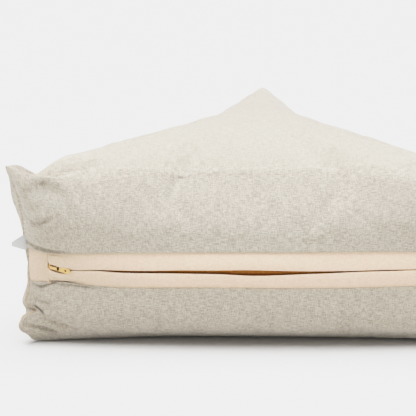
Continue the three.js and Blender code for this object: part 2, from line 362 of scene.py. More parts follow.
def lay_out(name: str, mesh: bpy.types.Mesh) -> bpy.types.Object:
    """Put a mesh into the scene as an object at the origin."""
    piece = bpy.data.objects.new(name, mesh)
    bpy.context.scene.collection.objects.link(piece)
    return piece


def mesh_of(name: str, bm: bmesh.types.BMesh, smooth: bool = True) -> bpy.types.Mesh:
    """Turn a bmesh into a mesh and free it."""
    for face in bm.faces:
        face.smooth = smooth
    mesh = bpy.data.meshes.new(name)
    bm.to_mesh(mesh)
    bm.free()
    return mesh


def bevel(
    bm: bmesh.types.BMesh, edges: list[bmesh.types.BMEdge], offset: float, segments: int
) -> None:
    """Round off edges by an offset, never past each other."""
    bmesh.ops.bevel(
        bm, geom=edges, offset=offset, segments=segments, profile=0.5, affect="EDGES", material=-1,
        clamp_overlap=True,
    )


def cloth_grid(name: str, points: np.ndarray, cut: np.ndarray) -> bpy.types.Mesh:
    """Make a sheet of cloth from a plain grid whose vertices are laid at their places.

    Args:
        name: The mesh's name.
        points: The places, by row and column.
        cut: Where each place lies on the flat cloth, by row and column, in metres.

    Returns:
        The mesh, with the flat cloth as its UV map.
    """
    rows, columns = points.shape[:2]
    bm = bmesh.new()
    bmesh.ops.create_grid(bm, x_segments=columns - 1, y_segments=rows - 1, size=1.0)
    mesh = mesh_of(name, bm)
    mesh.vertices.foreach_set("co", points.astype(np.float32).ravel())
    corners = np.empty(len(mesh.loops), np.int32)
    mesh.loops.foreach_get("vertex_index", corners)
    uv = mesh.uv_layers.new(name=CLOTH_UV)
    uv.uv.foreach_set("vector", cut.reshape(-1, 2)[corners].astype(np.float32).ravel())
    mesh.update()
    return mesh


def finish_cloth(piece: bpy.types.Object, thickness: float, levels: int = 1) -> None:
    """Give a sheet its thickness and round it off."""
    wall = piece.modifiers.new("thickness", "SOLIDIFY")
    wall.thickness = thickness
    wall.offset = 0.0
    if levels:
        fine = piece.modifiers.new("fine", "SUBSURF")
        fine.levels = fine.render_levels = levels


def running_length(points: np.ndarray, axis: int) -> np.ndarray:
    """Return the length run along an axis of a grid of points, from its first row or column."""
    steps = np.linalg.norm(np.diff(points, axis=axis), axis=-1)
    start = np.zeros_like(np.take(steps, [0], axis=axis))
    return np.concatenate([start, np.cumsum(steps, axis=axis)], axis=axis)


def flat_cut(points: np.ndarray) -> np.ndarray:
    """Return where the points of a sheet lie on its flat cloth, along its rows and columns."""
    return np.stack([running_length(points, 1), running_length(points, 0)], axis=-1)


def dress(piece: bpy.types.Object, finish: bpy.types.Material) -> None:
    """Give a piece its one finish."""
    piece.data.materials.clear()
    piece.data.materials.append(finish)
    log.info("%s: dressed in %s", piece.name, finish.name)


@dataclass(frozen=True)
class Crease:
    """A soft trough or ridge across a wall, along a line of places along it and up it.

    The places are in millimetres. A depth below zero is a ridge. The lean is how much steeper its
    upper bank is, from -1 to 1. It fades to its ends as a sine does from its first angle over its
    span, both as shares of a half turn.
    """

    line: tuple[Pair, ...]
    depth: float
    width: float
    lean: float = 0.0
    steepest: float = 0.45
    first_angle: float = 0.12
    span: float = 0.8
    fade_power: float = 0.7

    def depths(self, x: np.ndarray, z: np.ndarray) -> np.ndarray:
        """Return how deep the crease is at places of the wall."""
        best = np.full(x.shape, np.inf)
        across = np.zeros(x.shape)
        run = np.zeros(x.shape)
        points = MM * np.array(self.line)
        lengths = np.linalg.norm(np.diff(points, axis=0), axis=1)
        total, start = lengths.sum(), 0.0
        for (ax, az), (bx, bz), length in zip(points[:-1], points[1:], lengths):
            dx, dz = (bx - ax) / length, (bz - az) / length
            t = np.clip(((x - ax) * dx + (z - az) * dz), 0, length)
            away = np.hypot(x - ax - t * dx, z - az - t * dz)
            side = (z - az) * dx - (x - ax) * dz
            nearer = away < best
            best = np.where(nearer, away, best)
            across = np.where(nearer, side, across)
            run = np.where(nearer, start + t, run)
            start += length
        width = self.width * (1 - self.steepest * self.lean * np.sign(across))
        angle = np.pi * np.clip(self.first_angle + self.span * run / total, 0, 1)
        return self.depth * hump(best, width) * np.sin(angle) ** self.fade_power


@dataclass(frozen=True)
class Nudge:
    """A place by the left corner seam where the loose cloth is pushed aside, in millimetres.

    The place is how far right of the seam it is, along the cloth, and how high. The reaches are how
    far the push fades to the left, to the right, and up and down.
    """

    place: Pair
    reach: Triple
    push: Triple

    def push_at(self, along: np.ndarray, height: np.ndarray) -> np.ndarray:
        """Return the push at places named by how far along the cloth and how high they are."""
        aside = along / MM - self.place[0]
        aside = aside / np.where(aside < 0, self.reach[0], self.reach[1])
        rise = (height / MM - self.place[1]) / self.reach[2]
        return np.exp(-(aside**2) - rise**2)[..., None] * MM * np.array(self.push)


@dataclass(frozen=True)
class Swell:
    """A place where the filling lies thicker or thinner: its reaches and push, in millimetres."""

    place: Triple
    reach: Triple
    push: Triple

    def push_at(self, points: np.ndarray) -> np.ndarray:
        """Return the push at points."""
        away = (points / MM - np.array(self.place)) / np.array(self.reach)
        return np.exp(-(away**2).sum(axis=-1))[..., None] * MM * np.array(self.push)


@dataclass(frozen=True)
class SeamPull:
    """How the loose cloth pulls the left corner seam out of its line, height by height.

    Aside is to the right and ahead is towards the viewer. The reaches are how far the pull fades
    along the cloth to the left and to the right of the seam. All are in millimetres.
    """

    heights: tuple[float, ...]
    aside: tuple[float, ...]
    ahead: tuple[float, ...]
    reach: Pair

    def push_at(self, along: np.ndarray, height: np.ndarray) -> np.ndarray:
        """Return the push at places named by how far along the cloth and how high they are."""
        heights = np.array(self.heights, float)
        aside = smooth_through(height / MM, heights, np.array(self.aside, float))
        ahead = smooth_through(height / MM, heights, np.array(self.ahead, float))
        fade = hump(along / MM, np.where(along < 0, self.reach[0], self.reach[1]))
        return np.stack([aside * fade, -ahead * fade, np.zeros_like(fade)], axis=-1) * MM


@dataclass
class Filling:
    """The loose filling that swells the sewn cover, simulated on a remeshed copy of it."""

    voxel: float = 6 * MM
    pressure: float = 4.0
    frames: int = 20
    quality: int = 6
    cloth_mass: float = 0.3
    tension: float = 18.0
    shear: float = 8.0
    bending: float = 0.4
    most: float = 5 * MM
    spare_cloth: float = 0.012
    neighbours: int = 5
    nearest: float = 0.3 * MM
    broad_neighbours: int = 40
    broad_rounds: int = 4

    def settle(self, rest: bpy.types.Mesh, places: np.ndarray, held: np.ndarray) -> np.ndarray:
        """Swell a copy of the cover and return how far the filling moves places of it.

        Args:
            rest: The sewn cover before it is filled.
            places: Places on the cover.
            held: For each place, 1 where a seam or the floor holds it and 0 where it is free.

        Returns:
            One vector for each place.
        """
        copy = lay_out("filling_copy", rest.copy())
        remesh = copy.modifiers.new("remesh", "REMESH")
        remesh.mode = "VOXEL"
        remesh.voxel_size = self.voxel
        graph = bpy.context.evaluated_depsgraph_get()
        even = bpy.data.meshes.new_from_object(copy.evaluated_get(graph))
        bpy.data.objects.remove(copy)
        cover = lay_out("filling_cover", even)

        tree = tree_of(places)
        start = points_of(even)
        pinned = cover.vertex_groups.new(name="held")
        for index, point in enumerate(start):
            pinned.add([index], float(held[tree.find(point)[1]]), "REPLACE")

        cloth = cover.modifiers.new("cloth", "CLOTH")
        settings = cloth.settings
        settings.quality = self.quality
        settings.mass = self.cloth_mass
        settings.tension_stiffness = settings.compression_stiffness = self.tension
        settings.shear_stiffness = self.shear
        settings.bending_stiffness = self.bending
        settings.vertex_group_mass = pinned.name
        settings.shrink_min = -self.spare_cloth
        settings.use_pressure = True
        settings.uniform_pressure_force = self.pressure
        settings.effector_weights.gravity = 0.0
        cloth.collision_settings.use_self_collision = False
        cloth.point_cache.frame_start = 1
        cloth.point_cache.frame_end = self.frames
        scene = bpy.context.scene
        for number in range(1, self.frames + 1):
            scene.frame_set(number)
        graph = bpy.context.evaluated_depsgraph_get()
        swollen = bpy.data.meshes.new_from_object(cover.evaluated_get(graph))
        moved = points_of(swollen) - start
        scene.frame_set(1)
        bpy.data.objects.remove(cover)

        log.info("filling: %d points swell by up to %.1f mm", len(start), np.abs(moved).max() / MM)
        moved -= self.smoothed(moved, start)
        size = np.linalg.norm(moved, axis=1, keepdims=True)
        moved *= np.minimum(1.0, self.most / np.maximum(size, 1e-9))
        log.info("filling: unevenness of up to %.1f mm is kept", size.max() / MM)
        return self.carried(moved, start, places) * (1 - held)[:, None]

    def smoothed(self, moved: np.ndarray, start: np.ndarray) -> np.ndarray:
        """Return the broad part of the swelling, which the sewn form already has."""
        tree = tree_of(start)
        hits = (tree.find_n(point, self.broad_neighbours) for point in start)
        near = np.array([[hit[1] for hit in found] for found in hits])
        broad = moved
        for _ in range(self.broad_rounds):
            broad = broad[near].mean(axis=1)
        return broad

    def carried(self, moved: np.ndarray, start: np.ndarray, places: np.ndarray) -> np.ndarray:
        """Return the swelling at other places, from the nearest points of the copy."""
        tree = tree_of(start)
        carried = np.zeros_like(places)
        for index, place in enumerate(places):
            hits = tree.find_n(place, self.neighbours)
            weights = np.array([1 / (hit[2] + self.nearest) ** 2 for hit in hits])
            carried[index] = weights @ moved[[hit[1] for hit in hits]] / weights.sum()
        return carried


def points_of(mesh: bpy.types.Mesh) -> np.ndarray:
    """Return a mesh's vertices as rows of three numbers."""
    flat = np.empty(3 * len(mesh.vertices))
    mesh.vertices.foreach_get("co", flat)
    return flat.reshape(-1, 3)


def tree_of(points: np.ndarray) -> KDTree:
    """Return a search tree over points."""
    tree = KDTree(len(points))
    for index, point in enumerate(points):
        tree.insert(point, index)
    tree.balance()
    return tree


@dataclass
class Cushion:
    """The sewn and filled cover: its skin, corner seams, creases and the channel of the zip.

    Pairs of heights or distances are those between which an effect comes in or fades. Pairs of
    rows are how many rows an effect takes to come in above the rim and to fade under the foot. The
    rolls beside a seam have their distance and width as multiples of the seam's width. The crowding
    is that of the rows at the start and at the end of each part of the wall.
    """

    form: CushionForm
    band: Band
    wall: FrontWall
    front_stations: int = 300
    side_stations: int = 116
    front_crowding: float = 0.125
    front_shift: float = 1.12
    side_crowding: float = 0.145
    top_rows: int = 40
    upper_rows: int = 38
    band_rows: int = 22
    lower_rows: int = 60
    foot_rows: int = 12
    upper_crowding: Pair = (1.0, 0.8)
    band_crowding: Pair = (1.0, 1.0)
    lower_crowding: Pair = (0.8, 0.5)
    fan_power: float = 1.5
    held_band: Pair = (20 * MM, 34 * MM)
    held_seam: Pair = (2 * MM, 9 * MM)
    held_floor: Pair = (3 * MM, 12 * MM)
    channel_depth: float = 6.0 * MM
    channel_bank: Pair = (-0.2 * MM, 1.5 * MM)
    channel_clear: Pair = (1 * MM, 4 * MM)
    channel_lip: float = 0.35 * MM
    lip_out: float = 2.2 * MM
    lip_width: float = 2.4 * MM
    lip_clear: Pair = (0.4 * MM, 4 * MM)
    seam_groove: float = 1.7 * MM
    seam_width: float = 1.2 * MM
    seam_roll: float = 0.6 * MM
    roll_out: float = 2.3
    roll_width: float = 1.4
    seam_rows: tuple[int, int] = (5, 3)
    ear_heights: Pair = (135 * MM, 160 * MM)
    ear_flatness: float = 0.8
    joint_groove: float = 1.0 * MM
    joint_width: float = 1.6 * MM
    loose_rows: tuple[int, int] = (12, 5)
    full_fold: float = 1.6 * MM
    crease_clear: Pair = (0.0, 3 * MM)
    crease_bank: Pair = (-0.6 * MM, 0.4 * MM)
    rim_softness: int = 160
    rim_spread: float = 9.0
    rim_share: float = 0.6
    rim_from_corner: Pair = (22 * MM, 60 * MM)
    weld: float = 0.001 * MM
    cuts_apart: float = 1.0
    creases: tuple[Crease, ...] = (
        Crease(((-196, 96.0), (-184, 91.6), (-172, 88.4), (-156, 87.6)), 3.2 * MM, 1.5 * MM, 0.5),
        Crease(((-189, 97.0), (-175, 94.6), (-158, 92.0), (-135, 93.5)), -1.8 * MM, 4.0 * MM),
        Crease(((-189.5, 55.6), (-182, 53.8), (-176, 56.4), (-166, 61)), 3.0 * MM, 1.4 * MM, -0.4),
        Crease(((-173, 58.8), (-160, 57.2), (-145, 56.0), (-128, 55.2)), 2.2 * MM, 1.4 * MM, -0.4),
        Crease(((-190, 117.0), (-184, 112.7), (-176, 115), (-163, 120)), 2.6 * MM, 1.7 * MM, 0.3),
        Crease(((-188, 42.6), (-182, 40.0), (-172, 40.4)), 2.2 * MM, 2.0 * MM, 0.3),
        Crease(((-183, 35.5), (-176, 34.0), (-166, 34.5)), 1.6 * MM, 1.8 * MM),
        Crease(((-190, 36.0), (-187, 32.8), (-181, 29.5)), 4.2 * MM, 1.4 * MM, 0.3),
        Crease(((-193, 20.6), (-186, 16.5), (-170, 9.6)), 3.4 * MM, 2.0 * MM, 0.4),
        Crease(((-180, 24), (-168, 20.0), (-154, 16.0)), 2.8 * MM, 2.0 * MM, 0.4),
        Crease(((-186, 29), (-176, 26.0), (-164, 25.5)), 1.8 * MM, 2.0 * MM, 0.3),
        Crease(((-183, 151.5), (-172, 149.5), (-157, 140.5)), -1.8 * MM, 4.0 * MM),
        Crease(((-184, 145.5), (-174, 143.5), (-161, 135.0)), 1.6 * MM, 5.0 * MM),
        Crease(((-190, 141), (-184, 138.5), (-177, 139)), 1.2 * MM, 1.8 * MM, 0.3),
        Crease(((-192, 130), (-185, 127), (-176, 128)), 1.0 * MM, 2.4 * MM, 0.3),
        Crease(((-186, 76), (-186, 86)), 0.4 * MM, 1.2 * MM),
    )
    pressed: tuple[Crease, ...] = (
        Crease(
            (
                (-150, -155), (-118, -153), (-88, -151), (-54, -147.7), (-24, -146.3), (6, -145.7),
                (40, -145.3), (74, -146.8), (109, -148.8), (136, -149), (165, -151),
            ),
            -0.9 * MM,
            2.6 * MM,
            0.6,
        ),
        Crease(((-60, -60), (-52, -34), (-38, -12)), -0.5 * MM, 3.0 * MM),
    )
    nudges: tuple[Nudge, ...] = (
        Nudge((-10, 27), (9, 7, 9.0), (-1.6, -5.0, 0.0)),
        Nudge((0, 3), (16, 15, 8.0), (1.6, 0.0, 2.6)),
        Nudge((-6, 12), (8, 8, 5.0), (-1.0, 0.0, 0.0)),
        Nudge((-12, 35), (9, 6, 5.5), (-3.6, 1.5, 0.0)),
    )
    pull: SeamPull = SeamPull(
        (4, 9, 14, 19, 24, 27, 29.0, 30.5, 32, 35, 40, 48, 60, 75, 85, 96),
        (2, 0, -3, -4, -2, -1, 3.0, 8.5, 9.0, 3.5, 1.5, 3.0, 2.5, 2.2, 0.5, -1),
        (0, 1, 2, 3, 3.5, 3.5, 3.0, 1.0, -0.5, -1.0, -0.5, 0, 0, 0, 0, 0),
        (7.0, 11.0),
    )
    swells: tuple[Swell, ...] = (
        Swell((-200, -158, 156), (9, 14, 14), (0.0, 0.0, 3.2)),
        Swell((-184, -140, 152), (9, 10, 16), (0.0, 0.0, -3.8)),
        Swell((-160, -145, 160), (22, 30, 20), (0.0, 0.0, 4.0)),
        Swell((-125, -110, 165), (40, 40, 24), (0.0, 0.0, 1.6)),
        Swell((-204, -150, 130), (10, 16, 28), (-2.0, 0.0, 0.0)),
        Swell((-203, -148, 108), (10, 14, 12), (1.8, 0.0, 0.0)),
        Swell((-196, -152, 58), (8, 14, 22), (-2.6, 0.0, 0.0)),
        Swell((-196, -152, 42), (8, 14, 10), (-4.6, 0.0, 0.0)),
        Swell((0, 190, 160), (60, 70, 60), (4.5, 0.0, -2.0)),
        Swell((0, 182, 160), (16, 26, 30), (0.0, 0.0, -3.0)),
        Swell((26, 120, 160), (22, 60, 30), (0.0, 0.0, 2.2)),
        Swell((-45, 40, 165), (30, 60, 30), (0.0, 0.0, -3.0)),
        Swell((137, -119, 162), (30, 40, 24), (0.0, 0.0, -2.0)),
        Swell((20, 180, 160), (12, 40, 40), (0.0, 0.0, -3.2)),
        Swell((0, -175, 0), (500, 60, 20), (0.0, 8.5, 0.0)),
        Swell((0, -178, 113), (290, 60, 17), (0.0, -4.3, 0.0)),
        Swell((137, -175, 4), (55, 40, 9), (0.0, 0.0, 3.5)),
        Swell((-110, -175, 4), (55, 40, 9), (0.0, 0.0, 1.2)),
    )
    seams: list[np.ndarray] = field(default_factory=list)

    def build(self, finish: bpy.types.Material) -> None:
        """Make the finished cushion, and keep the lines of its corner seams.

        Args:
            finish: The cover's cloth.
        """
        grid = self.softened(self.skin_grid())
        grid = grid + sum(swell.push_at(grid) for swell in self.swells)
        rest = self.sewn_mesh(grid, {})
        moved = Filling().settle(rest, grid.reshape(-1, 3), self.held(grid).ravel())
        grid = grid + moved.reshape(grid.shape)
        grid[:, -1] = grid[:, 0]
        shaped, masks = self.shaped(grid)
        cushion = lay_out("zafu_cushion", self.sewn_mesh(shaped, masks))
        walls = slice(self.top_rows, self.foot_row + 1)
        self.seams = [shaped[walls, column] for column in self.corner_columns[:3]]
        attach(cushion, ROOT)
        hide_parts("cushion_body")
        dress(cushion, finish)
        log.info("cushion: %d points", len(cushion.data.vertices))

    @property
    def foot_row(self) -> int:
        """Return the row at which the wall meets the foot."""
        return self.top_rows + self.upper_rows + self.band_rows + self.lower_rows

    @property
    def corner_columns(self) -> tuple[int, int, int, int]:
        """Return the columns of the corner seams, from the left corner round to it again."""
        front, side = self.front_stations, self.side_stations
        return (0, front, front + side, front + 2 * side)

    def shares(self, wall: Wall) -> np.ndarray:
        """Return the stations of a wall as shares along it, crowded towards its corners."""
        if wall is Wall.FRONT:
            even = np.arange(self.front_stations) / self.front_stations
            crowded = even - self.front_crowding * np.sin(2 * np.pi * even)
            return crowded**self.front_shift
        even = np.arange(self.side_stations) / self.side_stations
        return even - self.side_crowding * np.sin(2 * np.pi * even)

    def part(self, wall: Wall, share: np.ndarray) -> np.ndarray:
        """Return the points of some stations of a wall.

        Args:
            wall: The wall.
            share: The stations' shares along it.

        Returns:
            The points by row and station, from the middle of the crown to the middle of the foot.
        """
        x = self.form.skin(wall, share, 1.0, 0.0)[..., 0]
        if wall is not Wall.FRONT:
            x = np.full(share.shape, self.band.end if wall is Wall.RIGHT else -self.band.end)
        upper = self.wall.level_at(share, self.band.edge(x, FlapSide.UPPER), wall)
        lower = self.wall.level_at(share, self.band.edge(x, FlapSide.LOWER), wall)
        top = 1 - (1 - np.linspace(0, 1, self.top_rows + 1)) ** self.fan_power
        foot = 1 - (1 - np.linspace(1, 0, self.foot_rows + 1)) ** self.fan_power
        reach = np.concatenate([top[:-1], np.ones(self.foot_row - self.top_rows), foot])
        from_rim = 1 + (upper - 1) * eased(self.upper_rows, *self.upper_crowding)[:-1, None]
        down_band = eased(self.band_rows, *self.band_crowding)[:-1, None]
        across = upper + (lower - upper) * down_band
        down_wall = eased(self.lower_rows, *self.lower_crowding)[:-1, None]
        to_foot = lower + (-1 - lower) * down_wall
        over = np.ones((self.top_rows, len(share)))
        under = -np.ones((self.foot_rows + 1, len(share)))
        level = np.concatenate([over, from_rim, across, to_foot, under])
        return self.form.skin(wall, share[None, :], reach[:, None], level)

    def skin_grid(self) -> np.ndarray:
        """Return the skin's points by row and station, the first station again at the end."""
        grid = np.concatenate([self.part(wall, self.shares(wall)) for wall in Wall], axis=1)
        return np.concatenate([grid, grid[:, :1]], axis=1)

    def softened(self, grid: np.ndarray) -> np.ndarray:
        """Round off the rim between the ears, where no seam pinches the cloth."""
        row = np.arange(grid.shape[0])[:, None]
        apart = smoothstep(self.from_corner(grid), *self.rim_from_corner)
        soft = hump(row - self.top_rows, self.rim_spread) * apart
        for _ in range(self.rim_softness):
            middle = (np.roll(grid, 1, axis=0) + np.roll(grid, -1, axis=0)) / 2
            grid = grid + (middle - grid) * self.rim_share * soft[..., None]
        return grid

    def sewn_mesh(self, grid: np.ndarray, masks: dict[str, np.ndarray]) -> bpy.types.Mesh:
        """Make the cover from a plain grid that is laid round the cushion and sewn up.

        Args:
            grid: The places of its points by row and station.
            masks: Values that the finish reads, by row and station.

        Returns:
            The closed cover.
        """
        rows, columns = grid.shape[:2]
        mesh = cloth_grid("zafu_cushion", grid[::-1], np.zeros((rows, columns, 2)))
        for name, mask in masks.items():
            layer = mesh.attributes.new(name, "FLOAT", "POINT")
            layer.data.foreach_set("value", mask[::-1].astype(np.float32).ravel())
        self.draw_cut(mesh, grid)
        bm = bmesh.new()
        bm.from_mesh(mesh)
        bmesh.ops.remove_doubles(bm, verts=bm.verts[:], dist=self.weld)
        bpy.data.meshes.remove(mesh)
        return mesh_of("zafu_cushion", bm)

    def draw_cut(self, mesh: bpy.types.Mesh, grid: np.ndarray) -> None:
        """Lay the cover out as its two flat cut pieces, the upper and the lower one, in its UV map.

        Args:
            mesh: The cover before it is sewn up.
            grid: The places of its points by row and station.
        """
        rows, columns = grid.shape[:2]
        corners = np.empty(len(mesh.loops), np.int32)
        mesh.loops.foreach_get("vertex_index", corners)
        row, column = rows - 1 - corners // columns, corners % columns
        first = column.reshape(-1, 4).min(axis=1).repeat(4)
        last_row = row.reshape(-1, 4).max(axis=1).repeat(4)
        number = np.searchsorted(self.corner_columns, first, side="right") - 1
        outward = np.array([self.form.outward(wall) for wall in Wall])[number]
        joint = self.top_rows + self.upper_rows + self.band_rows // 2
        upper = last_row <= joint
        down = running_length(grid, 0)
        rim = np.where(upper, np.minimum(row, self.top_rows), np.maximum(row, self.foot_row))
        run = np.abs(down[row, column] - down[rim, column])
        place = grid[rim, column, :2] + outward * run[:, None]
        place[~upper] += (0.0, self.cuts_apart)
        mesh.uv_layers[CLOTH_UV].uv.foreach_set("vector", place.astype(np.float32).ravel())

    def along_row(self, grid: np.ndarray) -> np.ndarray:
        """Return distances along the rows from the left corner seam, negative on the left wall."""
        run = running_length(grid, 1)
        total = run[:, -1:]
        return np.where(run > total / 2, run - total, run)

    def from_corner(self, grid: np.ndarray) -> np.ndarray:
        """Return how far each point is from the nearest corner seam, along its row."""
        run = running_length(grid, 1)
        away = [np.abs(run - run[:, column : column + 1]) for column in self.corner_columns]
        return np.min(away, axis=0)

    def on_front(self) -> np.ndarray:
        """Return which columns belong to the front wall, its two corner seams with it."""
        return (np.arange(self.corner_columns[3] + 1) <= self.front_stations)[None, :]

    def held(self, grid: np.ndarray) -> np.ndarray:
        """Return where seams, the band and the floor hold the cover, from 0 to 1."""
        z = grid[..., 2]
        from_band = smoothstep(np.abs(z - self.band.centre), *self.held_band)
        in_band = self.on_front() * (1 - from_band)
        near_seam = 1 - smoothstep(self.from_corner(grid), *self.held_seam)
        on_floor = 1 - smoothstep(z, *self.held_floor)
        return np.maximum(np.maximum(in_band, near_seam), on_floor)

    def shaped(self, grid: np.ndarray) -> tuple[np.ndarray, dict[str, np.ndarray]]:
        """Sew the seams, sink the band's channel and lay the creases.

        Args:
            grid: The filled skin by row and station.

        Returns:
            The finished points, and the masks that the finish reads.
        """
        row = np.arange(grid.shape[0])[:, None]
        on_walls = (row >= self.top_rows) & (row <= self.foot_row)
        front = self.on_front() & on_walls
        x, z = grid[..., 0], grid[..., 2]
        corner = self.from_corner(grid)
        below_top = self.band.edge(x, FlapSide.UPPER) - z
        inside = np.minimum(below_top, z - self.band.edge(x, FlapSide.LOWER))

        seam, out = self.seam_relief(row, z, corner)
        out = out + np.where(front, self.channel_relief(inside, corner), 0.0)
        clear = smoothstep(corner, *self.channel_clear)
        joint = hump(z - self.band.centre, self.joint_width) * clear
        out = out - np.where(~self.on_front() & on_walls, self.joint_groove * joint, 0.0)
        fold = np.zeros(grid.shape[:2])
        for crease in self.creases:
            depth = np.where(front, crease.depths(x, z), 0.0)
            depth = depth * smoothstep(corner, *self.crease_clear)
            out = out - depth * (1 - smoothstep(inside, *self.crease_bank))
            # The fold mask keeps how deep each crease is; the finish paints shade into the folds
            # with it.
            fold = np.maximum(fold, np.clip(depth / self.full_fold, 0, 1))
        for crease in self.pressed:
            out = out - np.where(row < self.top_rows, crease.depths(x, grid[..., 1]), 0.0)

        shaped = grid + self.normals(grid) * out[..., None]
        shaped = self.pushed(shaped, row, self.along_row(grid), z)
        shaped[..., 2] = np.maximum(shaped[..., 2], 0.0)
        shaped[:, -1] = shaped[:, 0]
        return shaped, {FOLD: fold, SEAM: seam}

    def seam_relief(
        self, row: np.ndarray, z: np.ndarray, corner: np.ndarray
    ) -> tuple[np.ndarray, np.ndarray]:
        """Return the corner seams as a mask, and how far their groove and its rolls stand out.

        Args:
            row: The rows of the points.
            z: Their heights.
            corner: How far they are from the nearest corner seam.

        Returns:
            The mask and the relief.
        """
        above, under = self.seam_rows
        sewn = smoothstep(row, self.top_rows - above, self.top_rows)
        sewn = sewn * (1 - smoothstep(row, self.foot_row, self.foot_row + under))
        sewn = sewn * (1 - self.ear_flatness * smoothstep(z, *self.ear_heights))
        seam = hump(corner, self.seam_width) * sewn
        from_roll = corner - self.roll_out * self.seam_width
        roll = hump(from_roll, self.roll_width * self.seam_width) * sewn
        return seam, self.seam_roll * roll - self.seam_groove * seam

    def channel_relief(self, inside: np.ndarray, corner: np.ndarray) -> np.ndarray:
        """Return how far the band's channel, and the lip along it, stand out of the wall.

        Args:
            inside: How far inside the band's edges the points are.
            corner: How far they are from the nearest corner seam.

        Returns:
            The relief, below zero in the channel.
        """
        lip = hump(inside + self.lip_out, self.lip_width) * self.channel_lip
        lip = lip * smoothstep(corner, *self.lip_clear)
        sunk = smoothstep(inside, *self.channel_bank) * self.channel_depth
        return lip - sunk * smoothstep(corner, *self.channel_clear)

    def pushed(
        self, shaped: np.ndarray, row: np.ndarray, along: np.ndarray, z: np.ndarray
    ) -> np.ndarray:
        """Push the loose cloth by the left corner aside, and pull its seam out of its line.

        Args:
            shaped: The points.
            row: Their rows.
            along: How far they are from the left corner seam along the cloth.
            z: Their heights.

        Returns:
            The moved points.
        """
        above, under = self.loose_rows
        loose = smoothstep(row, self.top_rows - above, self.top_rows)
        loose = loose * (1 - smoothstep(row, self.foot_row + 1, self.foot_row + 1 + under))
        for nudge in self.nudges:
            shaped = shaped + nudge.push_at(along, z) * loose[..., None]
        return shaped + self.pull.push_at(along, z) * loose[..., None]

    def normals(self, grid: np.ndarray) -> np.ndarray:
        """Return outward normals of the cover's points by row and station."""
        ring = grid[:, :-1]
        aside = np.roll(ring, -1, axis=1) - np.roll(ring, 1, axis=1)
        normals = unit(np.cross(np.gradient(ring, axis=0), aside))
        normals[0], normals[-1] = (0, 0, 1), (0, 0, -1)
        return np.concatenate([normals, normals[:, :1]], axis=1)


